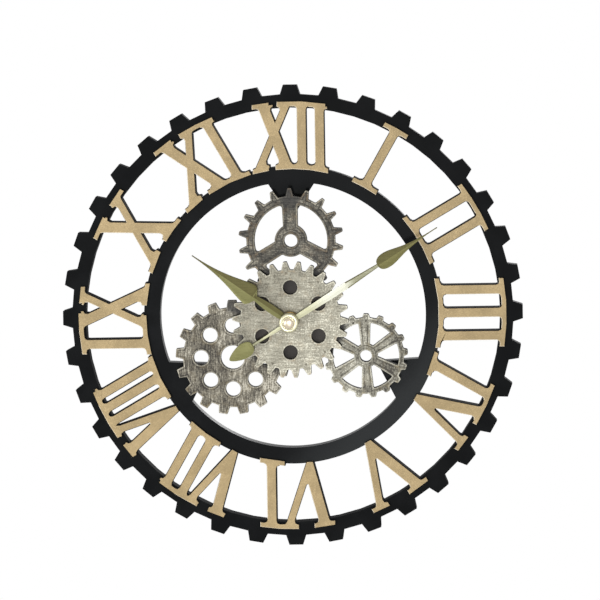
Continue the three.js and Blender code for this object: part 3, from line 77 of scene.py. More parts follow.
# Ornamental gears: lengths in millimetres, turns clockwise in degrees
GEARS = {
    "centre_gear": {
        "Centre X": 0.0, "Centre Y": 0.0, "Back": 22.2, "Depth": 4.0, "Teeth": 26, "Tip": 49.9, "Root": 42.8,
        "Tip Width": 3.0, "Base Width": 7.4, "Tip Rounding": 0.9, "Root Rounding": 1.2, "Turn": 2.1 - 180 / 26,
        "Bore": 4.2, "Holes": 6, "Hole Radius": 6.1, "Hole Circle": 27.8, "Hole Turn": 0.5, "Lip": 0.35,
    },
    "top_gear": {
        "Centre X": 0.7, "Centre Y": 66.8, "Back": 16.7, "Depth": 3.5, "Teeth": 18, "Tip": 45.2, "Root": 38.4,
        "Tip Width": 3.0, "Base Width": 6.6, "Tip Rounding": 0.9, "Root Rounding": 1.2, "Turn": -1.1, "Bore": 5.7,
        "Spokes": 3, "Rim Inside": 31.4, "Hub Outside": 13.9, "Spoke At Rim": 13.4, "Spoke At Hub": 12.7,
        "Window Fillet": 2.4, "Hole Turn": -1.1, "Lip": 0.5, "Hub Step": 9.5, "Hub Rise": 0.8,
    },
    "left_gear": {
        "Centre X": -50.7, "Centre Y": -32.9, "Back": 16.7, "Depth": 3.5, "Teeth": 17, "Tip": 49.2, "Root": 42.9,
        "Tip Width": 7.4, "Base Width": 9.6, "Tip Rounding": 0.7, "Root Rounding": 0.8, "Turn": 0.0, "Bore": 10.2,
        "Holes": 8, "Hole Radius": 6.4, "Hole Circle": 27.2, "Hole Turn": 0.0, "Lip": 0.5,
    },
    "right_gear": {
        "Centre X": 63.9, "Centre Y": -33.2, "Back": 16.7, "Depth": 3.5, "Teeth": 17, "Tip": 36.1, "Root": 32.8,
        "Tip Width": 4.4, "Base Width": 6.4, "Tip Rounding": 1.3, "Root Rounding": 1.2, "Turn": 0.7, "Bore": 5.1,
        "Spokes": 6, "Rim Inside": 28.5, "Hub Outside": 10.2, "Spoke At Rim": 10.4, "Spoke At Hub": 7.6,
        "Window Fillet": 2.4, "Hole Turn": -2.1, "Lip": 0.5, "Hub Step": 8.9, "Hub Rise": 0.8,
    },
}

# Hands, in millimetres; leaf curves give controls as shares of the half width and of the way along
HOUR_ANGLE, MINUTE_ANGLE = 304.85, 58.2
HOUR_LEAF = {"start": 35.0, "wide": 41.0, "end": 100.5, "width": 18.6,
             "flank": ((0.45, 0.22), (0.94, 0.5)), "taper": ((0.93, 0.18), (0.05, 0.42))}
HOUR_NECK, HOUR_STEM = 4.5, 7.4
MINUTE_LEAF = {"start": 89.4, "wide": 98.2, "end": 149.2, "width": 13.2,
               "flank": ((0.8, 0.05), (1, 0.5)), "taper": ((1, 0.2), (0.0, 0.32))}
TAIL_LEAF = {"start": 36.6, "wide": 45.5, "end": 60.2, "width": 13.0,
             "flank": ((0.8, 0.05), (1, 0.5)), "taper": ((1, 0.35), (0.4, 0.93))}
SHAFT = ((-37.0, 1.9), (-5.0, 3.3), (5.0, 4.4), (44.0, 6.0), (58.0, 5.9), (89.4, 2.8))
HAND_EDGE, HAND_THICK = 0.7, 1.9
LEAF_SLOPE, STEM_SLOPE, SHAFT_SLOPE = 0.13, 0.26, 0.4
HAND_EYE_RADIUS, HAND_EYE_BORE = 6.4, 2.6
CAP_BUTTON = 4.75
FACET, LEAF_TIP = 0.68, 0.42

NUMERALS = "I II III IV V VI VII VIII IX X XI XII".split()


# Node trees

class Num:
    """A number in a node tree: arithmetic on it adds Math nodes."""

    def __init__(self, tree, socket):
        self.tree, self.socket = tree, socket

    def math(self, operation, other=None, third=None, swap=False):
        values = (other, self, third) if swap else (self, other, third)
        return Num(self.tree, put(self.tree, "ShaderNodeMath", dict(enumerate(values)), operation=operation))

    __add__ = __radd__ = partialmethod(math, "ADD")
    __mul__ = __rmul__ = partialmethod(math, "MULTIPLY")
    __sub__, __rsub__ = partialmethod(math, "SUBTRACT"), partialmethod(math, "SUBTRACT", swap=True)
    __truediv__, __rtruediv__ = partialmethod(math, "DIVIDE"), partialmethod(math, "DIVIDE", swap=True)
    __mod__, floor = partialmethod(math, "MODULO"), partialmethod(math, "FLOOR")
    cos, sin = partialmethod(math, "COSINE"), partialmethod(math, "SINE")
    size, sign, root = partialmethod(math, "ABSOLUTE"), partialmethod(math, "SIGN"), partialmethod(math, "SQRT")
    least, most = partialmethod(math, "MINIMUM"), partialmethod(math, "MAXIMUM")
    above, near = partialmethod(math, "GREATER_THAN"), partialmethod(math, "COMPARE", third=0.5)

    def pick(self, low, high):
        return low + self * (high - low)

    def clamp(self):
        return Num(self.tree, put(self.tree, "ShaderNodeClamp", {0: self}))


def distance(one, two):
    return (one * one + two * two).root()


def plug(tree, value, socket):
    """Links a socket or a Num into an input, or writes a plain value there."""
    if value is None:
        return
    if isinstance(value, Num):
        value = value.socket
    if isinstance(value, bpy.types.NodeSocket):
        tree.links.new(value, socket)
    else:
        socket.default_value = value


def give(tree, node, inputs):
    """Plugs values into a node's inputs, by name or by place."""
    for name, value in inputs.items():
        plug(tree, value, node.inputs[name])


def add(tree, kind, inputs=None, **settings):
    """A new node with its settings and inputs."""
    node = tree.nodes.new(kind)
    for name, value in settings.items():
        setattr(node, name, value)
    give(tree, node, inputs or {})
    return node


def put(tree, kind, inputs=None, **settings):
    """The first output of a new node."""
    return add(tree, kind, inputs, **settings).outputs[0]


def vector(tree, x=0.0, y=0.0, z=0.0):
    return put(tree, "ShaderNodeCombineXYZ", {0: x, 1: y, 2: z})


def axes(tree, point):
    """The three numbers of a point."""
    return [Num(tree, socket) for socket in add(tree, "ShaderNodeSeparateXYZ", {0: point}).outputs]


def new_tree(name, kind, inputs, outputs):
    """A node group with named sockets; returns the tree, its inputs and its output node."""
    tree = bpy.data.node_groups.new(name, kind)
    for label, socket_type, value in inputs:
        socket = tree.interface.new_socket(label, in_out="INPUT", socket_type=socket_type)
        if value is not None:
            socket.default_value = value
    for label, socket_type in outputs:
        tree.interface.new_socket(label, in_out="OUTPUT", socket_type=socket_type)
    given, made = tree.nodes.new("NodeGroupInput"), tree.nodes.new("NodeGroupOutput")
    numbers = {}
    for label, socket_type, _ in inputs:
        socket = given.outputs[label]
        plain = socket_type in ("NodeSocketFloat", "NodeSocketInt")
        numbers[label] = Num(tree, socket) if plain else socket
    return tree, numbers, made


# Surface effects that several finishes share

def object_point(tree, scale=(1, 1, 1), turn=0.0):
    """Object coordinates in millimetres, turned about the dial's axis and scaled."""
    return put(tree, "ShaderNodeMapping", {
        "Vector": add(tree, "ShaderNodeTexCoord").outputs["Object"],
        "Rotation": (0, math.radians(turn), 0), "Scale": [s / MM for s in scale],
    })


def noise(tree, where, scale, detail, rough):
    return Num(tree, add(tree, "ShaderNodeTexNoise", {
        "Vector": where, "Scale": scale, "Detail": detail, "Roughness": rough,
    }).outputs["Fac"])


def spread(value, low, high):
    """Stretches low to high over 0 to 1, with soft ends."""
    return Num(value.tree, put(value.tree, "ShaderNodeMapRange", {"Value": value, "From Min": low, "From Max": high},
                               interpolation_type="SMOOTHSTEP"))


def band(value, low, high, soft=0.25):
    """1 between two values, falling softly to 0 outside them."""
    return spread(value, low - soft, low + soft) * (1.0 - spread(value, high - soft, high + soft))


def effect_group(name, inputs, outputs):
    """A shader node group with numbers in and out."""
    number = "NodeSocketFloat"
    return new_tree(name, "ShaderNodeTree", [(label, number, value) for label, value in inputs],
                    [(label, number) for label in outputs])


def make_speckle():
    """Fine grain of sprayed paint and moulded plastic."""
    tree, given, made = effect_group("speckle", [("Size", 0.6)], ["Grain", "Cloud"])
    where = object_point(tree)
    give(tree, made, {"Grain": noise(tree, where, 1.0 / given["Size"], 2.0, 0.6),
                      "Cloud": noise(tree, where, 0.028 / given["Size"], 4.0, 0.6)})
    return tree


def make_brushing():
    """Two sets of fine crossing scratches, as left by an abrasive pad."""
    tree, given, made = effect_group("brushing", [("Fineness", 1.0)], ["Lines", "Cross"])
    first, second = object_point(tree, (0.10, 0.4, 1.1), 4), object_point(tree, (1.0, 0.4, 0.09), -8)
    give(tree, made, {"Lines": noise(tree, first, given["Fineness"], 3.0, 0.7),
                      "Cross": noise(tree, second, given["Fineness"], 3.0, 0.7)})
    return tree


def make_edge_wear_and_highlight():
    """Where a raised edge is lighter, from the edge attribute of the mesh: rubbed wear, and a painted highlight along
    rounded edges.
    """
    tree, given, made = effect_group("edge_wear_and_highlight", [("Amount", 1.0)], ["Bright"])
    edge = Num(tree, add(tree, "ShaderNodeAttribute", attribute_name="edge").outputs["Fac"])
    broken = spread(noise(tree, object_point(tree), 0.35, 3.0, 0.6), 0.32, 0.62)
    give(tree, made, {"Bright": edge * given["Amount"] * (0.35 + broken * 0.65)})
    return tree


# Lengths of a gear that its finish follows, with values for a gear without holes or spokes
FIELD_INPUTS = {
    "Centre X": 0.0, "Centre Y": 0.0, "Teeth": 20.0, "Tip": 50.0, "Root": 43.0, "Tip Width": 3.0, "Base Width": 7.0,
    "Turn": 0.0, "Bore": 5.0, "Holes": 1.0, "Hole Radius": 0.0, "Hole Circle": 0.0, "Hole Turn": 0.0, "Spokes": 1.0,
    "Rim Inside": 0.0, "Hub Outside": 500.0, "Spoke At Rim": 1.0, "Spoke At Hub": 1.0,
}


def make_gear_field():
    """Distances on the front of a gear, in millimetres, for finishes that follow its shape."""
    outputs = ["Edge", "Reach", "Rib", "Right", "Up", "Dot", "Axis"]
    tree, given, made = effect_group("gear_field", FIELD_INPUTS.items(), outputs)
    x, _, y = axes(tree, object_point(tree))
    right, up = x - given["Centre X"], y - given["Centre Y"]
    reach = distance(right, up)
    angle = right.math("ARCTAN2", up)

    def fold(count, turn):
        """The angle from the nearest of so many equal directions, and which one that is."""
        step = 2 * math.pi / count
        turns = (angle - turn * (math.pi / 180)) / step
        which = turns.math("ROUND")
        return (turns - which) * step, which

    lean, which = fold(given["Teeth"], given["Turn"])
    across = (reach * lean.sin()).size()
    rise = ((reach - given["Root"]) / (given["Tip"] - given["Root"])).clamp()
    flank = rise.pick(given["Base Width"], given["Tip Width"]) / 2.0 - across
    outside = (given["Root"] - reach).most(flank.least(given["Tip"] - reach))
    # A small dark mark under some of the teeth
    chance = Num(tree, put(tree, "ShaderNodeTexWhiteNoise", {"W": which + 3.0}, noise_dimensions="1D"))
    mark = distance(across, reach - given["Root"] + 2.6)
    dot = (1.0 - spread(mark, 0.7, 1.3)) * chance.above(0.72)

    lean, _ = fold(given["Holes"], given["Hole Turn"])
    hole = distance(reach * lean.sin(), reach * lean.cos() - given["Hole Circle"]) - given["Hole Radius"]

    lean, _ = fold(given["Spokes"], given["Hole Turn"])
    side, out = (reach * lean.sin()).size(), reach * lean.cos()
    along = ((out - given["Hub Outside"]) / (given["Rim Inside"] - given["Hub Outside"])).clamp()
    half = along.pick(given["Spoke At Hub"], given["Spoke At Rim"]) / 2.0
    window = (half - side).most(reach - given["Rim Inside"]).most(given["Hub Outside"] - reach)

    give(tree, made, {
        "Edge": outside.least(hole).least(window).least(reach - given["Bore"]), "Reach": reach, "Rib": side / half,
        "Right": right / given["Tip"], "Up": up / given["Tip"], "Dot": dot, "Axis": distance(x, y),
    })
    return tree


SPECKLE, BRUSHING, EDGE_WEAR_AND_HIGHLIGHT, GEAR_FIELD = make_speckle(), make_brushing(), make_edge_wear_and_highlight(), make_gear_field()


# Finishes

def effect(tree, group, **values):
    node = tree.nodes.new("ShaderNodeGroup")
    node.node_tree = group
    for name, value in values.items():
        node.inputs[name.replace("_", " ")].default_value = value
    return {o.name: Num(tree, o) for o in node.outputs}


def blend(tree, amount, low, high):
    """A mix of two colours, each a plain colour or a socket."""
    node = add(tree, "ShaderNodeMix", {0: amount}, data_type="RGBA")
    for slot, value in ((6, low), (7, high)):
        plug(tree, (*value, 1) if isinstance(value, tuple) else value, node.inputs[slot])
    return node.outputs[2]


def finish(name, level):
    """A new material with its specular level, and its node tree."""
    material = bpy.data.materials.new(name)
    material.use_nodes = True
    tree = material.node_tree
    tree.nodes["Principled BSDF"].inputs["Specular IOR Level"].default_value = level
    return material, tree


def coat(material, colour, rough, metal, height, strength, depth):
    """Plugs a finish together, with height as a bump, and returns it."""
    tree = material.node_tree
    bump = put(tree, "ShaderNodeBump", {"Strength": strength, "Distance": depth * MM, "Height": height})
    give(tree, tree.nodes["Principled BSDF"],
         {"Base Color": colour, "Roughness": rough, "Metallic": metal, "Normal": bump})
    return material


def black_paint(name, deep, pale, rough, level, grain=0.7, lift=0.02, painted_sheen=None):
    """Satin black over a moulding: faint clouds, fine grain, edges a little grey as wear and painted highlight, and
    perhaps a painted sheen that makes one side lighter.
    """
    material, tree = finish(name, level)
    spots, wear_and_highlight = effect(tree, SPECKLE, Size=grain), effect(tree, EDGE_WEAR_AND_HIGHLIGHT, Amount=0.5)
    colour = blend(tree, spread(spots["Cloud"], 0.35, 0.7), deep, pale)
    if painted_sheen:
        # Painted sheen: lighter towards the lower right of the dial
        low, high, tone = painted_sheen
        x, _, z = axes(tree, object_point(tree))
        colour = blend(tree, spread((x - z) * 0.7071, low, high), colour, tone)
    # Edges a little lighter: wear, and a painted highlight along the rounded edges
    colour = blend(tree, wear_and_highlight["Bright"], colour, tuple(c * 2.6 + 0.02 for c in pale))
    sheen = spots["Cloud"] * 0.16 + spots["Grain"] * 0.08 + (rough - 0.12)
    return coat(material, colour, sheen, 0.0, spots["Grain"], 0.25, lift)


def gold_paint(name, base, dark, light, rim):
    """Matte tan gold: metal flakes in a flat lacquer, slightly uneven; edge faces take rim, a lighter colour as a
    painted highlight.
    """
    material, tree = finish(name, 0.3)
    spots, wear_and_highlight = effect(tree, SPECKLE, Size=0.6), effect(tree, EDGE_WEAR_AND_HIGHLIGHT, Amount=1.0)
    grain = spots["Grain"]
    colour = blend(tree, spread(spots["Cloud"], 0.3, 0.7), dark, base)
    colour = blend(tree, spread(grain, 0.54, 0.7) * 0.45, colour, light)
    colour = blend(tree, spread(grain, 0.48, 0.32) * 0.6, colour, dark)
    # Edge faces take the rim colour: wear and a painted highlight
    colour = blend(tree, wear_and_highlight["Bright"], colour, rim)
    return coat(material, colour, grain * 0.2 + 0.48, spread(grain, 0.4, 0.7) * 0.35, grain, 0.3, 0.03)


def stretch(value):
    """Noise with more contrast, about zero."""
    return spread(value, 0.32, 0.68) - 0.5


def gear_face(name, gear, dark, base, light, bronze, streaks, grain, mottle, lean, border, groove,
              flute=0.0, shade=0.0, dark_spots=()):
    """Aged metal that follows its gear: streaks, pits, pale borders, dark grooves, darker patches at listed spots, and
    painted shade where it lies deep under the centre gear.
    """
    material, tree = finish(name, 0.3)
    size = GEARS[gear]
    field = effect(tree, GEAR_FIELD, **{k: float(v) for k, v in size.items() if k in FIELD_INPUTS})
    strokes, wear_and_highlight = effect(tree, BRUSHING, Fineness=1.0), effect(tree, EDGE_WEAR_AND_HIGHLIGHT, Amount=1.0)
    where = object_point(tree)
    fine, wide = noise(tree, where, 0.8, 2.0, 0.6), noise(tree, where, 0.085, 4.0, 0.62)
    tone = 0.5 + stretch(strokes["Lines"]) * streaks[0] + stretch(strokes["Cross"]) * streaks[1]
    tone = tone + stretch(fine) * grain + stretch(wide) * mottle + field["Right"] * lean[0] + field["Up"] * lean[1]
    edge, rib = field["Edge"], field["Rib"]
    patchy = spread(wide * 0.5 + fine * 0.5, 0.36, 0.6)
    tone = tone + band(edge, 0.2, 1.0) * (border * (0.5 + patchy * 0.5))
    tone = tone - band(edge, 1.35, 2.3) * (groove * (0.4 + patchy * 0.6))
    if flute:
        on_spoke = band(field["Reach"], size["Hub Outside"] + 1, size["Rim Inside"] - 0.5, 1.2)
        tone = tone + (band(rib, 0.72, 0.97, 0.08) - band(rib, 0.36, 0.62, 0.1)) * on_spoke * flute
    tone = tone - field["Dot"] * 0.5
    colour = blend(tree, spread(tone, 0.0, 0.5), dark, base)
    colour = blend(tree, spread(tone, 0.5, 1.0), colour, light)
    rusty = spread(noise(tree, where, 0.16, 3.0, 0.6), 0.5, 0.64) * (0.3 + band(edge, 0.1, 1.8) * 0.7)
    colour = blend(tree, rusty * 0.75, colour, bronze)
    # Beads and edges lighter: wear, and a painted highlight along the raised lips
    colour = blend(tree, wear_and_highlight["Bright"] * 0.45, colour, light)
    # Darker patches at the listed spots
    for x, y, radius, amount in dark_spots:
        away = distance(field["Right"] * size["Tip"] - x, field["Up"] * size["Tip"] - y)
        near = 1.0 - spread(away, radius * 0.4, radius)
        colour = blend(tree, near * (0.55 + patchy * 0.45) * amount, colour, (0.016, 0.015, 0.014))
    # Painted shade: darker where a side gear lies under the centre gear's teeth, within 52 mm of the dial's axis
    if shade:
        under = 1.0 - spread(field["Axis"], 44.0, 52.0)
        colour = blend(tree, under * shade, colour, (0.010, 0.009, 0.009))
    return coat(material, colour, 0.6 - tone.clamp() * 0.2, spread(tone, 0.3, 1.0) * 0.3, tone, 0.5, 0.12)


def drawn_metal(name, base, light, dark, rough, metal=0.9, grain=1.2, cloud=0.4, level=0.5):
    """Plated, turned or drawn metal: fine lines and a little cloud."""
    material, tree = finish(name, level)
    strokes, spots = effect(tree, BRUSHING, Fineness=grain), effect(tree, SPECKLE, Size=0.8)
    wear_and_highlight = effect(tree, EDGE_WEAR_AND_HIGHLIGHT, Amount=0.8)
    colour = blend(tree, spread(strokes["Lines"], 0.3, 0.7), base, light)
    colour = blend(tree, spread(spots["Cloud"], 0.45, 0.75) * cloud, colour, dark)
    # Edges lighter: wear, and a painted highlight along the rounded edges
    colour = blend(tree, wear_and_highlight["Bright"], colour, light)
    return coat(material, colour, strokes["Cross"] * 0.18 + (rough - 0.09), metal, strokes["Lines"], 0.15, 0.03)


def shaft_metal(name, pale, bright, dull):
    """The minute hand's shaft, with a painted highlight: its colour is brightest past its middle, duller by the leaf
    and by the tail.
    """
    material, tree = finish(name, 0.3)
    strokes = effect(tree, BRUSHING, Fineness=0.5)
    turn = math.radians(MINUTE_ANGLE)
    x, _, z = axes(tree, object_point(tree))
    along = x * math.sin(turn) + z * math.cos(turn)
    # Painted highlight: brightest from 18 to 42 mm along the shaft
    colour = blend(tree, spread(along, 18.0, 42.0), pale, bright)
    colour = blend(tree, spread(along, 54.0, 68.0), colour, dull)
    colour = blend(tree, spread(along, -24.0, -32.0), colour, dull)
    colour = blend(tree, spread(strokes["Lines"], 0.4, 0.7) * 0.25, colour, bright)
    return coat(material, colour, strokes["Cross"] * 0.15 + 0.25, 0.5, strokes["Lines"], 0.15, 0.02)


def moulded_plastic(name, base, shade, rough, level, grain=0.35, lift=0.03):
    """Moulded plastic or lacquer: fine tool grain and faint flow clouds."""
    material, tree = finish(name, level)
    spots, wear_and_highlight = effect(tree, SPECKLE, Size=grain), effect(tree, EDGE_WEAR_AND_HIGHLIGHT, Amount=0.4)
    colour = blend(tree, spread(spots["Cloud"], 0.3, 0.7), base, shade)
    # Edges lighter: wear, and a painted highlight along the rounded edges
    colour = blend(tree, wear_and_highlight["Bright"], colour, tuple(min(c * 1.5 + 0.03, 1) for c in base))
    return coat(material, colour, spots["Grain"] * 0.2 + (rough - 0.1), 0.0, spots["Grain"], 0.3, lift)


def cell_wrap(name, dark, pale, copper, steel):
    """The printed sleeve of a dry cell: a copper band by its positive end, and bare steel at both ends."""
    material, tree = finish(name, 0.5)
    spots, strokes = effect(tree, SPECKLE, Size=0.9), effect(tree, BRUSHING, Fineness=1.0)
    along = axes(tree, object_point(tree))[0]
    end = along.size().above(CELL_HALF - 1.0)
    top = band(along, CELL_HALF - 15.0, CELL_HALF - 2.0, 0.05)
    line = band(along, CELL_HALF - 16.4, CELL_HALF - 15.8, 0.05)
    foil = blend(tree, spread(strokes["Lines"], 0.3, 0.7), copper, tuple(c * 1.3 for c in copper))
    colour = blend(tree, spread(spots["Cloud"], 0.3, 0.7), dark, pale)
    colour = blend(tree, top, colour, foil)
    colour = blend(tree, line.most(end), colour, steel)
    return coat(material, colour, spots["Grain"] * 0.15 + 0.24, top.most(end) * 0.7, spots["Grain"], 0.2, 0.01)


RING_BLACK = black_paint("ring_black", (0.006, 0.0064, 0.0068), (0.009, 0.0095, 0.0101), 0.5, 0.02)
# A lighter, glossier copy of the ring black for the inside walls: a painted highlight
RING_WALL_HIGHLIGHT = black_paint("ring_wall_highlight", (0.012, 0.0125, 0.013), (0.02, 0.0205, 0.021), 0.4, 0.25)
# The inner ring has a painted sheen, lighter towards its lower right
INNER_BLACK = black_paint("inner_black", (0.0066, 0.0071, 0.0076), (0.0098, 0.0104, 0.0112), 0.45, 0.03, 0.7, 0.02,
                          (70.0, 122.0, (0.028, 0.03, 0.031)))
NUMERAL_GOLD = gold_paint("numeral_gold", (0.435, 0.325, 0.168), (0.325, 0.242, 0.122), (0.57, 0.455, 0.27),
                          (0.57, 0.455, 0.27))
# Lighter gold for rounded edges that face left or down: a painted highlight
NUMERAL_EDGE_HIGHLIGHT = gold_paint("numeral_rim", (0.7, 0.6, 0.43), (0.58, 0.48, 0.33), (0.8, 0.71, 0.55),
                         (0.76, 0.67, 0.51))
# Black for the numerals' walls, and painted shade on rounded edges that face right or up
NUMERAL_SIDE_AND_SHADE = black_paint("numeral_side_and_shade", (0.003, 0.0028, 0.0026), (0.006, 0.0055, 0.005), 0.7, 0.03)
GEAR_SIDE = black_paint("gear_side", (0.006, 0.0055, 0.005), (0.012, 0.011, 0.01), 0.7, 0.06, 0.9, 0.06)
GEAR_BACK = black_paint("gear_back", (0.03, 0.028, 0.025), (0.055, 0.051, 0.046), 0.6, 0.2, 0.9, 0.06)
HUB_BLACK = black_paint("hub_black", (0.026, 0.023, 0.021), (0.06, 0.052, 0.046), 0.6, 0.2, 1.4, 0.12)
CENTRE_SILVER = gear_face(
    "centre_silver", "centre_gear", (0.15, 0.138, 0.102), (0.325, 0.308, 0.242), (0.58, 0.56, 0.46),
    (0.315, 0.258, 0.175), (0.32, 0.14), 0.4, 0.22, (0.14, -0.14), 0.16, 0.14)
TOP_PEWTER = gear_face(
    "top_pewter", "top_gear", (0.012, 0.0105, 0.008), (0.07, 0.064, 0.049), (0.225, 0.207, 0.161),
    (0.148, 0.106, 0.06), (0.4, 0.2), 0.36, 0.55, (-0.05, -0.1), 0.34, 0.4, 0.25, 0.95,
    ((0, 38, 13, 0.9), (44, 8, 8, 0.6), (-42, 8, 8, 0.6), (0, 0, 20, 0.25)))
LEFT_PEWTER = gear_face(
    "left_pewter", "left_gear", (0.026, 0.022, 0.017), (0.165, 0.149, 0.113), (0.42, 0.395, 0.325),
    (0.192, 0.157, 0.096), (0.12, 0.6), 0.38, 0.5, (0.27, 0.09), 0.34, 0.3, 0.0, 0.95, ((2, 46, 12, 0.95),))
RIGHT_PEWTER = gear_face(
    "right_pewter", "right_gear", (0.05, 0.044, 0.034), (0.25, 0.238, 0.19), (0.5, 0.485, 0.41),
    (0.215, 0.182, 0.112), (0.2, 0.25), 0.36, 0.45, (-0.26, 0.02), 0.3, 0.22, 0.22, 0.95)
HAND_GOLD = drawn_metal(
    "hand_gold", (0.16, 0.155, 0.059), (0.195, 0.19, 0.079), (0.118, 0.112, 0.04), 0.45, 0.3, 1.0, 0.3, 0.15)
HAND_OLIVE = drawn_metal(
    "hand_olive", (0.128, 0.118, 0.043), (0.155, 0.145, 0.056), (0.098, 0.089, 0.031), 0.48, 0.3, 1.0, 0.3, 0.12)
HAND_SHADE = drawn_metal(
    "hand_shade", (0.081, 0.073, 0.026), (0.103, 0.094, 0.035), (0.06, 0.053, 0.018), 0.5, 0.3, 1.0, 0.3, 0.12)
# Near-black walls of the hands: a painted shadow line along their edges
HAND_WALL_SHADOW = black_paint("hand_wall_shadow", (0.01, 0.009, 0.005), (0.018, 0.016, 0.009), 0.6, 0.1)
HAND_SHAFT_HIGHLIGHT = shaft_metal("hand_shaft_highlight", (0.62, 0.61, 0.4), (0.86, 0.86, 0.72), (0.34, 0.335, 0.215))
CAP_GOLD = drawn_metal(
    "cap_gold", (0.5, 0.475, 0.325), (0.57, 0.545, 0.395), (0.44, 0.41, 0.265), 0.3, 0.8, 0.25, 0.3)
# Rosy gold for the middle of the cap: a painted reflection
CAP_ROSE_REFLECTION = drawn_metal(
    "cap_rose_reflection", (0.56, 0.475, 0.355), (0.63, 0.55, 0.43), (0.5, 0.405, 0.29), 0.28, 0.8, 0.25, 0.4)
ZINC = drawn_metal("zinc", (0.5, 0.51, 0.52), (0.64, 0.65, 0.66), (0.36, 0.37, 0.39), 0.34)
BRASS = drawn_metal("brass", (0.56, 0.4, 0.15), (0.72, 0.55, 0.25), (0.4, 0.27, 0.1), 0.28)
COPPER = drawn_metal("copper_wire", (0.4, 0.13, 0.05), (0.55, 0.22, 0.1), (0.24, 0.07, 0.03), 0.3, 0.8, 4.0)
MAGNET = drawn_metal("magnet", (0.06, 0.06, 0.062), (0.1, 0.1, 0.1), (0.03, 0.03, 0.03), 0.5, 0.5)
CASE_BLACK = moulded_plastic("case_black", (0.02, 0.02, 0.021), (0.028, 0.028, 0.029), 0.5, 0.35)
KNOB_BLACK = moulded_plastic("knob_black", (0.06, 0.06, 0.062), (0.085, 0.085, 0.088), 0.35, 0.5)
ACETAL = moulded_plastic("acetal", (0.66, 0.64, 0.57), (0.72, 0.7, 0.64), 0.4, 0.5)
COLLAR_RUBBER = moulded_plastic("collar_rubber", (0.018, 0.018, 0.018), (0.028, 0.027, 0.026), 0.8, 0.2, 0.5, 0.08)
BOARD_GREEN = moulded_plastic("board_green", (0.015, 0.09, 0.035), (0.022, 0.12, 0.05), 0.35, 0.5)
CELL_SLEEVE = cell_wrap("cell_sleeve", (0.012, 0.012, 0.013), (0.022, 0.022, 0.024), (0.46, 0.21, 0.085),
                        (0.5, 0.5, 0.51))


# Meshes

def link(name, mesh):
    thing = bpy.data.objects.new(name, mesh)
    scene.collection.objects.link(thing)
    return thing


def shell(name, work):
    """A new piece from a finished bmesh."""
    mesh = bpy.data.meshes.new(name)
    work.to_mesh(mesh)
    work.free()
    return link(name, mesh)


def settle(thing):
    """Turns a piece's modifiers into plain mesh."""
    bpy.context.view_layer.update()
    depsgraph = bpy.context.evaluated_depsgraph_get()
    mesh = bpy.data.meshes.new_from_object(
        thing.evaluated_get(depsgraph), preserve_all_data_layers=True, depsgraph=depsgraph)
    thing.modifiers.clear()
    old, thing.data = thing.data, mesh
    mesh.name = thing.name
    bpy.data.meshes.remove(old)
    return thing


def smooth(thing, angle):
    """Smooth shading that breaks at edges sharper than an angle."""
    mesh = thing.data
    mesh.polygons.foreach_set("use_smooth", [True] * len(mesh.polygons))
    mesh.set_sharp_from_angle(angle=math.radians(angle))
    return thing


def mark_edges(thing):
    """Writes the edge attribute: 1 on beads, which have it, and on faces between the front and a wall."""
    mesh, values = thing.data, [0.0] * len(thing.data.polygons)
    if "edge" in mesh.attributes:
        mesh.attributes["edge"].data.foreach_get("value", values)
    else:
        mesh.attributes.new("edge", "FLOAT", "FACE")
    values = [1.0 if EDGE < -face.normal.y < FRONT else value for value, face in zip(values, mesh.polygons)]
    mesh.attributes["edge"].data.foreach_set("value", values)
    return thing


def round_edges(thing, width, segments, angle=40, front_only=False):
    """Rounds a piece's edges, or those of its front, keeps its flats flat, and marks the rounded faces as edge."""
    mesh = smooth(thing, angle).data
    cut = thing.modifiers.new("edges", "BEVEL")
    cut.width, cut.segments, cut.angle_limit = width * MM, segments, math.radians(angle)
    cut.limit_method, cut.use_clamp_overlap = "WEIGHT" if front_only else "ANGLE", not front_only
    if front_only:
        front = {key for face in mesh.polygons if -face.normal.y > 0.99 for key in face.edge_keys}
        front &= {key for face in mesh.polygons if abs(face.normal.y) < WALL for key in face.edge_keys}
        weights = [1.0 if edge.key in front else 0.0 for edge in mesh.edges]
        mesh.attributes.new("bevel_weight_edge", "FLOAT", "EDGE").data.foreach_set("value", weights)
    smooth(settle(thing), 50)
    flat = thing.modifiers.new("flats", "WEIGHTED_NORMAL")
    flat.keep_sharp, flat.weight = True, 100
    return mark_edges(settle(thing))


def cad_copy(node):
    """A copy of a CAD node's mesh, merged, with its flat faces joined up."""
    work = bmesh.new()
    work.from_mesh(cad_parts[node].data)
    bmesh.ops.remove_doubles(work, verts=work.verts, dist=2e-6)
    bmesh.ops.dissolve_limit(work, angle_limit=math.radians(0.6), verts=work.verts, edges=work.edges)
    return shell(node + "_finish", work)


def place(thing, body, slot, *nodes):
    """Puts a piece on its body instead of the CAD nodes that it shows; slot is not used."""
    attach(thing, body)
    if nodes:
        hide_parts(*nodes)
    return thing


def paint(thing, *materials, choose=None):
    """Gives a piece its materials; choose picks the slot of a face."""
    thing.data.materials.clear()
    for material in materials:
        thing.data.materials.append(material)
    thing.data.polygons.foreach_set("material_index", [choose(f) if choose else 0 for f in thing.data.polygons])
    return thing


def dress(node, material):
    """A CAD node that stays as it is gets its finish."""
    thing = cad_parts[node]
    for slot in thing.material_slots:
        slot.material = material
    if not thing.material_slots:
        thing.data.materials.append(material)


def rounded_copy(node, material, body, slot, width, segments=2):
    return place(paint(round_edges(cad_copy(node), width, segments), material), body, slot, node)


def heading(angle):
    """Sine and cosine of an angle in degrees."""
    return math.sin(math.radians(angle)), math.cos(math.radians(angle))


def bench(x, y, z):
    """A point of the drawing, in millimetres, to metres: x right, y to twelve, z off the wall."""
    return Vector((x * MM, -z * MM, y * MM))


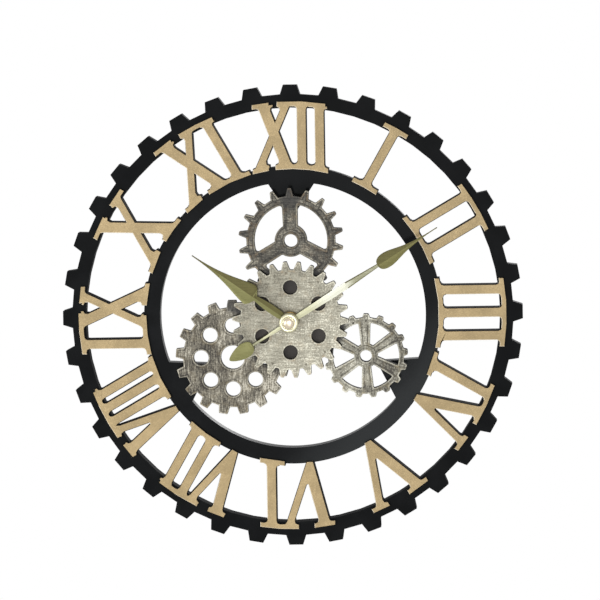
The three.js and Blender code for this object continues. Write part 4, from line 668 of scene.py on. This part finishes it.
def circle(radius, steps):
    turns = [2 * math.pi * k / steps for k in range(steps)]
    return [(radius * math.cos(a), radius * math.sin(a)) for a in turns]


def lathe(name, profile, steps):
    """A closed solid from a profile of (radius, height) points, turned about the dial's axis."""
    work = bmesh.new()
    rings = [[work.verts.new(bench(x, y, height)) for x, y in circle(radius, steps if radius else 1)]
             for radius, height in profile]
    for one, two in zip(rings, rings[1:] + rings[:1]):
        for k in range(steps):
            corners = (one[k % len(one)], one[(k + 1) % len(one)], two[(k + 1) % len(two)], two[k % len(two)])
            corners = list(dict.fromkeys(corners))
            if len(corners) > 2:
                work.faces.new(corners)
    bmesh.ops.recalc_face_normals(work, faces=work.faces)
    return shell(name, work)


# Toothed wheels, as Geometry Nodes

def gather(tree, *parts):
    """Several geometries as one."""
    node = add(tree, "GeometryNodeJoinGeometry")
    for part in parts:
        tree.links.new(part, node.inputs[0])
    return node.outputs[0]


def loop(tree, points, radius):
    return put(tree, "GeometryNodeCurvePrimitiveCircle", {"Resolution": points, "Radius": radius}, mode="RADIUS")


def polar(tree, reach, angle):
    return vector(tree, reach * angle.cos(), reach * angle.sin())


def fillet(tree, curve, radius, steps):
    return put(tree, "GeometryNodeFilletCurve", {
        "Curve": curve, "Count": steps, "Limit Radius": True, "Radius": radius}, mode="POLY")


def repeat(tree, shape, spots, turn=None):
    """A shape at each of some points."""
    copies = put(tree, "GeometryNodeInstanceOnPoints", {"Points": spots, "Instance": shape, "Rotation": turn})
    return put(tree, "GeometryNodeRealizeInstances", {0: copies})


def plate(tree, outline, depth):
    """A closed plate from a filled outline."""
    face = put(tree, "GeometryNodeFillCurve", {"Curve": outline}, mode="NGONS")
    front = put(tree, "GeometryNodeExtrudeMesh", {
        "Mesh": face, "Offset": vector(tree, z=1.0), "Offset Scale": depth, "Individual": False})
    both = gather(tree, front, put(tree, "GeometryNodeFlipFaces", {0: face}))
    return put(tree, "GeometryNodeMergeByDistance", {"Geometry": both, "Distance": 1e-6})


def bead(tree, outline, radius, height):
    """A rounded bead along an outline, at a height."""
    path = put(tree, "GeometryNodeSetCurveNormal", {"Curve": outline}, mode="Z_UP")
    pipe = put(tree, "GeometryNodeCurveToMesh", {"Curve": path, "Profile Curve": loop(tree, 10, radius)})
    return put(tree, "GeometryNodeTransform", {"Geometry": pipe, "Translation": vector(tree, z=height)})


def tag(tree, geometry, value):
    """Geometry with its edge attribute."""
    return put(tree, "GeometryNodeStoreNamedAttribute", {"Geometry": geometry, "Name": "edge", "Value": value},
               data_type="FLOAT", domain="FACE")


def make_toothed_wheel():
    """A wheel with its teeth, round holes or spokes, bore, raised lips and stepped hub."""
    counts = {"Teeth": 20, "Holes": 0, "Spokes": 0}
    lengths = {
        "Tip": 0.05, "Root": 0.04, "Tip Width": 0.003, "Base Width": 0.006, "Tip Rounding": 0.0006,
        "Root Rounding": 0.001, "Turn": 0.0, "Bore": 0.005, "Depth": 0.0035, "Hole Radius": 0.006,
        "Hole Circle": 0.028, "Hole Turn": 0.0, "Rim Inside": 0.03, "Hub Outside": 0.012, "Spoke At Rim": 0.01,
        "Spoke At Hub": 0.01, "Window Fillet": 0.0024, "Lip": 0.0005, "Hub Step": 0.0, "Hub Rise": 0.0,
    }
    tree, given, made = new_tree("toothed_wheel", "GeometryNodeTree", [
        *[(label, "NodeSocketInt", value) for label, value in counts.items()],
        *[(label, "NodeSocketFloat", value) for label, value in lengths.items()],
        ("Centre", "NodeSocketVector", (0, 0, 0)), ("Finish", "NodeSocketMaterial", None),
    ], [("Wheel", "NodeSocketGeometry")])
    index = Num(tree, put(tree, "GeometryNodeInputIndex"))
    depth, lip, rise = given["Depth"], given["Lip"], given["Hub Rise"]

    # Tooth outline: four corners for each tooth, then rounded
    corner, tooth = index % 4.0, (index / 4.0).floor()
    tip, side = corner.near(1.5, third=0.6), (corner - 1.5).sign()
    half = tip.pick(given["Base Width"] / given["Root"] / 2.0, given["Tip Width"] / given["Tip"] / 2.0)
    reach = tip.pick(given["Root"], given["Tip"])
    angle = given["Turn"] + math.pi / 2 + tooth * (2 * math.pi / given["Teeth"]) + side * half
    outline = put(tree, "GeometryNodeSetPosition", {
        "Geometry": loop(tree, given["Teeth"] * 4.0, 1.0), "Position": polar(tree, reach, angle)})
    outline = fillet(tree, outline, tip.pick(given["Root Rounding"], given["Tip Rounding"]), 4)

    # Windows between spokes: the rim side first, then back along the hub side
    run, first = 20, given["Hole Turn"] + math.pi / 2
    step = 2 * math.pi / given["Spokes"]
    inner = index.above(run - 0.5)
    at_corner = index.near(0.0) + index.near(run - 1.0) + index.near(float(run)) + index.near(2.0 * run - 1.0)

    def spoke_windows(clear):
        rim, hub = given["Rim Inside"] + clear, given["Hub Outside"] - clear
        rim_half = ((given["Spoke At Rim"] / 2.0 - clear) / rim).math("ARCSINE")
        hub_half = ((given["Spoke At Hub"] / 2.0 - clear) / hub).math("ARCSINE")
        rim_angle = rim_half + index / (run - 1.0) * (step - rim_half * 2.0)
        hub_angle = step - hub_half - (index - float(run)) / (run - 1.0) * (step - hub_half * 2.0)
        sweep = first + inner.pick(rim_angle, hub_angle)
        window = put(tree, "GeometryNodeSetPosition", {
            "Geometry": loop(tree, 2 * run, 1.0), "Position": polar(tree, inner.pick(rim, hub), sweep)})
        window = fillet(tree, window, at_corner * (given["Window Fillet"] + clear), 6)
        seats = put(tree, "GeometryNodePoints", {"Count": given["Spokes"]})
        return repeat(tree, window, seats, vector(tree, z=index * step))

    def round_holes(clear):
        hole_angle = first + index * (2 * math.pi / given["Holes"])
        spots = put(tree, "GeometryNodePoints", {
            "Count": given["Holes"], "Position": polar(tree, given["Hole Circle"], hole_angle)})
        return repeat(tree, loop(tree, 40, given["Hole Radius"] + clear), spots)

    bore = loop(tree, 64, given["Bore"])
    body = tag(tree, plate(tree, gather(tree, outline, round_holes(0.0), spoke_windows(0.0), bore), depth), 0.0)

    # Raised lips outside the openings, and the step of the hub
    clear = lip * 1.3
    openings = gather(tree, round_holes(clear), spoke_windows(clear))
    beads = tag(tree, bead(tree, openings, lip, depth - lip * 0.55), 1.0)
    collar = tag(tree, bead(tree, loop(tree, 64, given["Bore"] + clear), lip, depth + rise - lip * 0.55), 1.0)
    hub = tag(tree, plate(tree, gather(tree, loop(tree, 64, given["Hub Step"]), bore), depth + rise), 0.0)
    hub = put(tree, "GeometryNodeSwitch", {"Switch": rise.above(1e-6), "True": hub}, input_type="GEOMETRY")
    solid = put(tree, "GeometryNodeTransform", {
        "Geometry": gather(tree, body, beads, collar, hub), "Translation": given["Centre"],
        "Rotation": vector(tree, x=math.pi / 2)})
    solid = put(tree, "GeometryNodeRealizeInstances", {0: solid})
    solid = put(tree, "GeometryNodeSetMaterial", {"Geometry": solid, "Material": given["Finish"]})
    tree.links.new(solid, made.inputs[0])
    return tree


TOOTHED_WHEEL = make_toothed_wheel()


def grow(name, tree, **values):
    """A plain mesh from a Geometry Nodes tree with its inputs set."""
    thing = link(name, bpy.data.meshes.new(name))
    growth = thing.modifiers.new("growth", "NODES")
    growth.node_group = tree
    ids = {item.name: item.identifier for item in tree.interface.items_tree if item.in_out == "INPUT"}
    for label, value in values.items():
        growth[ids[label.replace("_", " ")]] = value
    return settle(thing)


def gear_slot(face):
    """The gear's own finish in front, dark walls and a dull back."""
    return 0 if -face.normal.y > 0.35 else 2 if face.normal.y > 0.9 else 1


def gear(node, face, slot):
    """An ornamental gear: its rim edges are rounded, and its beads stay as they are."""
    size = GEARS[node]
    counts, turns = ("Teeth", "Holes", "Spokes"), ("Turn", "Hole Turn")
    values = {k: v if k in counts else -math.radians(v) if k in turns else v * MM for k, v in size.items()
              if k not in ("Centre X", "Centre Y", "Back")}
    centre = bench(size["Centre X"], size["Centre Y"], size["Back"])
    thing = grow(node + "_finish", TOOTHED_WHEEL, Centre=centre, Finish=face, **values)
    round_edges(thing, GEAR_ROUNDING, 2, 70)
    return place(paint(thing, face, GEAR_SIDE, GEAR_BACK, choose=gear_slot), "frame", slot, node)


gear("centre_gear", CENTRE_SILVER, "silver_gear")
gear("top_gear", TOP_PEWTER, "pewter_gear")
gear("left_gear", LEFT_PEWTER, "pewter_gear")
gear("right_gear", RIGHT_PEWTER, "pewter_gear")


# Rings and numerals

def outwards(face):
    """How much a face looks away from the dial's axis, times its distance from there."""
    return face.center.x * face.normal.x + face.center.z * face.normal.z


def inside_wall(face):
    """Slot 1, a lighter black with a painted highlight, for walls that face the middle of the dial; 0 for the rest."""
    return 1 if abs(face.normal.y) < 0.75 and outwards(face) < 0 else 0


def true_circles(thing, step):
    """Breaks chords about the dial's axis into short ones, and moves the new corners out to the circle."""
    work = bmesh.new()
    work.from_mesh(thing.data)
    chords = {}
    for edge in work.edges:
        one, two = edge.verts[0].co, edge.verts[1].co
        near, far = math.hypot(one.x, one.z), math.hypot(two.x, two.z)
        cuts = int(edge.calc_length() / (step * MM))
        if cuts > 0 and abs(one.y - two.y) < 1e-6 and abs(near - far) < 5e-5:
            chords.setdefault((cuts, round((near + far) / 2, 4)), []).append(edge)
    for (cuts, radius), edges in chords.items():
        made = bmesh.ops.subdivide_edges(work, edges=[e for e in edges if e.is_valid], cuts=cuts)
        for corner in made["geom_inner"]:
            if isinstance(corner, bmesh.types.BMVert):
                scale = radius / math.hypot(corner.co.x, corner.co.z)
                corner.co.x, corner.co.z = corner.co.x * scale, corner.co.z * scale
    work.to_mesh(thing.data)
    work.free()
    return thing


rounded_copy("outer_ring", RING_BLACK, "frame", "black_plastic", RING_ROUNDING, 3)
inner_ring = round_edges(true_circles(cad_copy("inner_ring"), RING_CHORD), RING_ROUNDING, 3)
place(paint(inner_ring, INNER_BLACK, RING_WALL_HIGHLIGHT, choose=inside_wall), "frame", "black_plastic", "inner_ring")


def numeral_slot(face):
    """Gold front; rounded edges on the left and below get a pale painted highlight; walls are black, and rounded edges
    on the other sides and at the outer ends are black as painted shade.
    """
    normal, spot = face.normal, face.center
    if -normal.y > FRONT:
        return 0
    outer_end = math.hypot(spot.x, spot.z) > NUMERAL_END * MM and outwards(face) > 0.3 * spot.length
    return 2 if -normal.y < WALL or normal.x > 0.08 or normal.z > 0.08 or outer_end else 1


for hour in NUMERALS:
    numeral = round_edges(cad_copy("numeral_" + hour), NUMERAL_ROUNDING, 3, front_only=True)
    paint(numeral, NUMERAL_GOLD, NUMERAL_EDGE_HIGHLIGHT, NUMERAL_SIDE_AND_SHADE, choose=numeral_slot)
    place(numeral, "frame", "gold_face", "numeral_" + hour)


# Hands

def bezier(points, steps):
    """Points along a Bezier curve."""
    out = []
    for k in range(steps + 1):
        t, row = k / steps, [Vector(p) for p in points]
        while len(row) > 1:
            row = [a.lerp(b, t) for a, b in zip(row, row[1:])]
        out.append(row[0])
    return out


def leaf(neck, size):
    """Half width and place along a leaf, from its neck to its point."""
    start, wide, end, half = size["start"], size["wide"], size["end"], size["width"] / 2
    flank = [(neck / 2, start), *[(a * half, start + b * (wide - start)) for a, b in size["flank"]], (half, wide)]
    taper = [(half, wide), *[(a * half, wide + b * (end - wide)) for a, b in size["taper"]], (LEAF_TIP, end)]
    return bezier(flank, 12) + bezier(taper, 26)[1:]


def hand(name, stations, back, angle):
    """A hand with a ridge along its middle: stations are (half width, place along, slope)."""
    work = bmesh.new()
    sine, cosine = heading(angle)
    rows = []
    for half, along, slope in stations:
        edge = back + HAND_EDGE
        ridge = edge + min(slope * half, HAND_THICK - HAND_EDGE + 0.17)
        face = edge + (ridge - edge) * (1 - FACET)
        section = ((-1, back), (-1, edge), (-FACET, face), (0, ridge), (FACET, face), (1, edge), (1, back))
        points = [(along * sine + k * half * cosine, along * cosine - k * half * sine, z) for k, z in section]
        rows.append([work.verts.new(bench(*point)) for point in points])
    for one, two in zip(rows, rows[1:]):
        for k in range(7):
            work.faces.new([one[k], one[(k + 1) % 7], two[(k + 1) % 7], two[k]])
    work.faces.new(rows[0])
    work.faces.new(list(reversed(rows[-1])))
    bmesh.ops.recalc_face_normals(work, faces=work.faces)
    return round_edges(shell(name, work), HAND_ROUNDING, 1, 55)


def join(name, *things):
    """Several shells as one piece."""
    work = bmesh.new()
    for thing in things:
        mesh = thing.data
        work.from_mesh(mesh)
        bpy.data.objects.remove(thing)
        bpy.data.meshes.remove(mesh)
    return shell(name, work)


def eye(name, back):
    """The round boss of a hand."""
    wide, top = HAND_EYE_RADIUS, back + HAND_THICK
    return lathe(name, [(HAND_EYE_BORE, back), (wide - 0.2, back), (wide, back + 0.2), (wide, top - 0.3),
                        (wide - 0.3, top), (HAND_EYE_BORE, top)], 64)


# Tones of a hand: lit, middle and painted-shade copies of the olive gold, the shaft's painted highlight, and black
# walls as a painted shadow line
HAND_FINISHES = (HAND_GOLD, HAND_OLIVE, HAND_SHADE, HAND_SHAFT_HIGHLIGHT, HAND_WALL_SHADOW)
LIGHT, MIDDLE, SHADE, BRIGHT, SIDE = range(5)


def hand_finish(thing, angle, tones):
    """Gives each facet its tone: tones picks one by the place along the hand, to its side, and if it faces up, which is
    how facets facing up get painted shade. Walls take black as a painted shadow line; the back takes the middle tone.
    """
    sine, cosine = heading(angle)

    def choose(face):
        if -face.normal.y < 0.35:
            return MIDDLE if face.normal.y > 0.9 else SIDE
        spot = face.center / MM
        return tones(spot.x * sine + spot.z * cosine, spot.x * cosine - spot.z * sine, face.normal.z > 0.01)

    return paint(smooth(thing, 12), *HAND_FINISHES, choose=choose)


def leaf_stations(points, slope, sign=1):
    """Stations of a leaf, whose ridge eases from the shaft's slope to its own."""
    ease = [max(0, 1 - k / 6) for k in range(len(points))]
    return [(p.x, sign * p.y, LEAF_SLOPE + (slope - LEAF_SLOPE) * e) for p, e in zip(points, ease)]


def shaft_width(along):
    for (low, first), (high, second) in zip(SHAFT, SHAFT[1:]):
        if along <= high:
            return first + (second - first) * (along - low) / (high - low)
    return SHAFT[-1][1]


hour_start = HOUR_LEAF["start"]
hour_neck = HOUR_NECK / 2
hour_stem = bezier([(hour_neck, 2.0), (HOUR_STEM - hour_neck, 0.5 * hour_start), (hour_neck, hour_start)], 16)
hour_line = [(p.x, p.y, STEM_SLOPE) for p in hour_stem[:-1]] + leaf_stations(leaf(HOUR_NECK, HOUR_LEAF), STEM_SLOPE)
hour_blade = hand("hour_blade", hour_line, HOUR_BACK, HOUR_ANGLE)
hour_hand = join("hour_hand_finish", hour_blade, eye("hour_eye", HOUR_BACK))

tail = leaf_stations(leaf(SHAFT[0][1], TAIL_LEAF), SHAFT_SLOPE, -1)[::-1]
shaft = [(shaft_width(y) / 2, y, SHAFT_SLOPE) for y in (-30, -20, -10, -5, 5, 15, 30, 44, 58, 66, 75, 84)]
point = leaf_stations(leaf(SHAFT[-1][1], MINUTE_LEAF), SHAFT_SLOPE)
minute_blade = hand("minute_blade", tail + shaft + point, MINUTE_BACK, MINUTE_ANGLE)
minute_hand = join("minute_hand_finish", minute_blade, eye("minute_eye", MINUTE_BACK))


def hour_tone(along, side, upper):
    # Facets that face up take the painted shade; the leaf also darkens towards its tip
    return SHADE if upper or along > 84 else MIDDLE if along > 70 else LIGHT


def minute_tone(along, side, upper):
    """The middle of the shaft takes the painted highlight, the tail is plain, and the leaf is dark, with painted shade
    on the facets that face up.
    """
    edge = abs(side) > 0.27 * shaft_width(along)
    if -36 < along < 88 and (not edge or -20 < along < 58):
        return BRIGHT
    return LIGHT if along < -30 else SHADE if upper else MIDDLE


place(hand_finish(hour_hand, HOUR_ANGLE, hour_tone), "hands_hour", "hand_gold", "hour_hand")
place(hand_finish(minute_hand, MINUTE_ANGLE, minute_tone), "hands_minute", "hand_gold", "minute_hand")


def cap_slot(face):
    """The button in the middle of the cap, painted rosy as a painted reflection, and the gold around it."""
    return 1 if math.hypot(face.center.x, face.center.z) < CAP_BUTTON * MM and -face.normal.y > 0 else 0


dome = [(2.2, 0), (7.8, 0), (8.4, 0.5), (8.4, 2.4), (8.1, 3.3), (7.4, 3.9), (6.5, 4.1), (5.7, 4.0), (5.1, 3.6),
        (4.7, 3.7)]
dome += [(4.6 * math.cos(a), 3.8 + (CAP_HEIGHT - 3.8) * math.sin(a)) for a in map(math.radians, range(9, 90, 9))]
dome += [(0, CAP_HEIGHT), (0, 2.4), (2.2, 2.0)]
cap = smooth(lathe("cap_nut_finish", [(radius, CAP_BACK + height) for radius, height in dome], 72), 40)
place(paint(cap, CAP_GOLD, CAP_ROSE_REFLECTION, choose=cap_slot), "hands_minute", "cap_gold", "cap_nut")


# Fixings and the movement

for node, material, slot, width in (
    ("hub_plate", HUB_BLACK, "black_plate", 0.3),
    ("movement_case", CASE_BLACK, "case_plastic", 0.4),
    ("movement_cover", CASE_BLACK, "case_plastic", 0.3),
    ("hanger_plate", ZINC, "zinc_steel", 0.15),
    ("fixing_nut", BRASS, "fixing_brass", 0.25),
    ("fixing_washer", BRASS, "fixing_brass", 0.12),
    ("spacer_collar", COLLAR_RUBBER, "rubber_collar", 0.2),
):
    rounded_copy(node, material, "frame", slot, width)
for side in ("top", "left", "right"):
    rounded_copy(side + "_gear_post", ZINC, "frame", "zinc_steel", 0.2)


def recess(thing, outline, depth):
    """Sinks an outline, given about the middle of the flat back of a piece in millimetres, into that face."""
    work = bmesh.new()
    work.from_mesh(thing.data)
    flats = [f for f in work.faces if f.normal.y > 0.99]
    back = max(flats, key=lambda f: (round(f.calc_center_median().y, 7), f.calc_area()))
    xs, zs = [v.co.x for v in back.verts], [v.co.z for v in back.verts]
    middle = Vector(((min(xs) + max(xs)) / 2, back.verts[0].co.y, (min(zs) + max(zs)) / 2))
    around = list(back.edges)
    bmesh.ops.delete(work, geom=[back], context="FACES_ONLY")
    rim = [work.verts.new(middle + Vector((x * MM, 0, z * MM))) for x, z in outline]
    bottom = [work.verts.new(v.co - Vector((0, depth * MM, 0))) for v in rim]
    after = [(k + 1) % len(rim) for k in range(len(rim))]
    inside = [work.edges.new((rim[k], rim[n])) for k, n in enumerate(after)]
    bmesh.ops.triangle_fill(work, edges=around + inside, use_beauty=True)
    for k, n in enumerate(after):
        work.faces.new([rim[k], rim[n], bottom[n], bottom[k]])
    work.faces.new(bottom)
    bmesh.ops.recalc_face_normals(work, faces=work.faces)
    work.to_mesh(thing.data)
    work.free()


def cross(arm, half):
    """Outline of the recess for a cross-headed driver."""
    corner = [(arm, -half), (arm, half), (half, half)]
    turns = ((1, 0), (0, 1), (-1, 0), (0, -1))
    return [(x * c - z * s, x * s + z * c) for c, s in turns for x, z in corner]


def fitted(node, material, body, slot, outline, depth, width):
    """A copy of a CAD node with a recess in its back, its edges rounded."""
    thing = cad_copy(node)
    recess(thing, outline, depth)
    return place(paint(round_edges(thing, width, 2, 50), material), body, slot, node)


for side in ("top", "left", "right"):
    fitted(side + "_post_screw", ZINC, "frame", "zinc_steel", cross(1.5, 0.32), 1.1, 0.1)
for side in ("left", "right"):
    fitted("hanger_screw_" + side, ZINC, "frame", "zinc_steel", cross(1.0, 0.22), 0.7, 0.06)
fitted("setting_knob", KNOB_BLACK, "knob", "case_plastic", circle(4.0, 48), 0.7, 0.12)
rounded_copy("battery", CELL_SLEEVE, "frame", "cell_sleeve", 0.4)

# Pieces of the movement that keep the shape of the solid
DRESSED = {
    ZINC: ("battery_contact_plus", "battery_contact_minus", "quartz_crystal", "stator"),
    ACETAL: ("train_plate", "step_wheel", "seconds_wheel", "third_wheel", "centre_wheel", "motion_wheel", "hour_wheel"),
    BOARD_GREEN: ("circuit_board",), COPPER: ("coil",), MAGNET: ("rotor",), BRASS: ("minute_arbor",),
}
for material, nodes in DRESSED.items():
    for node in nodes:
        dress(node, material)


# Floor, light and camera

def seen_directly(tree):
    """One where the camera sees it straight, in a polished surface or through a clear one."""
    rays = add(tree, "ShaderNodeLightPath").outputs
    straight, polished, clear = (Num(tree, rays[f"Is {kind} Ray"]) for kind in ("Camera", "Glossy", "Transmission"))
    return straight.most(polished).most(clear)


def pale_stage():
    """A pale floor well below the clock, white towards its edges, and a white room."""
    mesh = bpy.data.meshes.new("floor")
    corners = ((-1, -1), (1, -1), (1, 1), (-1, 1))
    mesh.from_pydata([(x * FLOOR_HALF, y * FLOOR_HALF, FLOOR_LEVEL) for x, y in corners], [], [(0, 1, 2, 3)])
    floor = link("floor", mesh)
    material, tree = finish("pale_floor", 0.5)
    shader = tree.nodes["Principled BSDF"]
    give(tree, shader, {"Base Color": (0.86, 0.86, 0.85, 1), "Roughness": 0.8})
    x, y, _ = axes(tree, object_point(tree))
    shown = seen_directly(tree) * (spread(distance(x, y), 200.0, 700.0) * 0.4 + 0.6)
    white = put(tree, "ShaderNodeEmission", {"Color": (1, 1, 1, 1), "Strength": 1.0})
    mixed = put(tree, "ShaderNodeMixShader", {0: shown, 1: shader.outputs[0], 2: white})
    tree.links.new(mixed, tree.nodes["Material Output"].inputs["Surface"])
    mesh.materials.append(material)
    world = bpy.data.worlds.new("white_room")
    world.use_nodes = True
    scene.world = world
    tree = world.node_tree
    room = {"Strength": seen_directly(tree).pick(ROOM_LIGHT, 1.0), "Color": (1, 1, 1, 1)}
    give(tree, tree.nodes["Background"], room)


def soft_box(name, stand, size, power):
    """A square lamp that faces the middle of the dial."""
    lamp = bpy.data.lights.new(name, "AREA")
    lamp.shape, lamp.size, lamp.energy = "SQUARE", size, power
    thing = link(name, lamp)
    thing.location = stand
    thing.rotation_euler = (-Vector(stand)).to_track_quat("-Z", "Y").to_euler()


def aim_camera():
    """The camera looks in from above and a little from the right, with its picture plane parallel to the dial."""
    data = bpy.data.cameras.new("camera")
    target = Vector((AIM_X, -RING_FRONT * MM, AIM_Z))
    eye_at = target + CAMERA_DISTANCE * Vector((CAMERA_RIGHT, -1, CAMERA_UP))
    back = eye_at - target
    data.sensor_width = 36
    data.lens = data.sensor_width * back.length / VIEW_WIDTH
    data.clip_start, data.clip_end = 0.05, 20
    camera = link("camera", data)
    sine, cosine = heading(DIAL_ROLL)
    pose = Matrix(((cosine, 0, -sine), (sine, 0, cosine), back.normalized())).transposed().to_4x4()
    pose.translation = eye_at
    camera.parent = link("camera_rig", None)
    camera.matrix_parent_inverse = pose
    scene.camera = camera


pale_stage()
for name, (stand, size, power) in LAMPS.items():
    soft_box(name, stand, size, power)
aim_camera()
scene.view_settings.view_transform = "Standard"
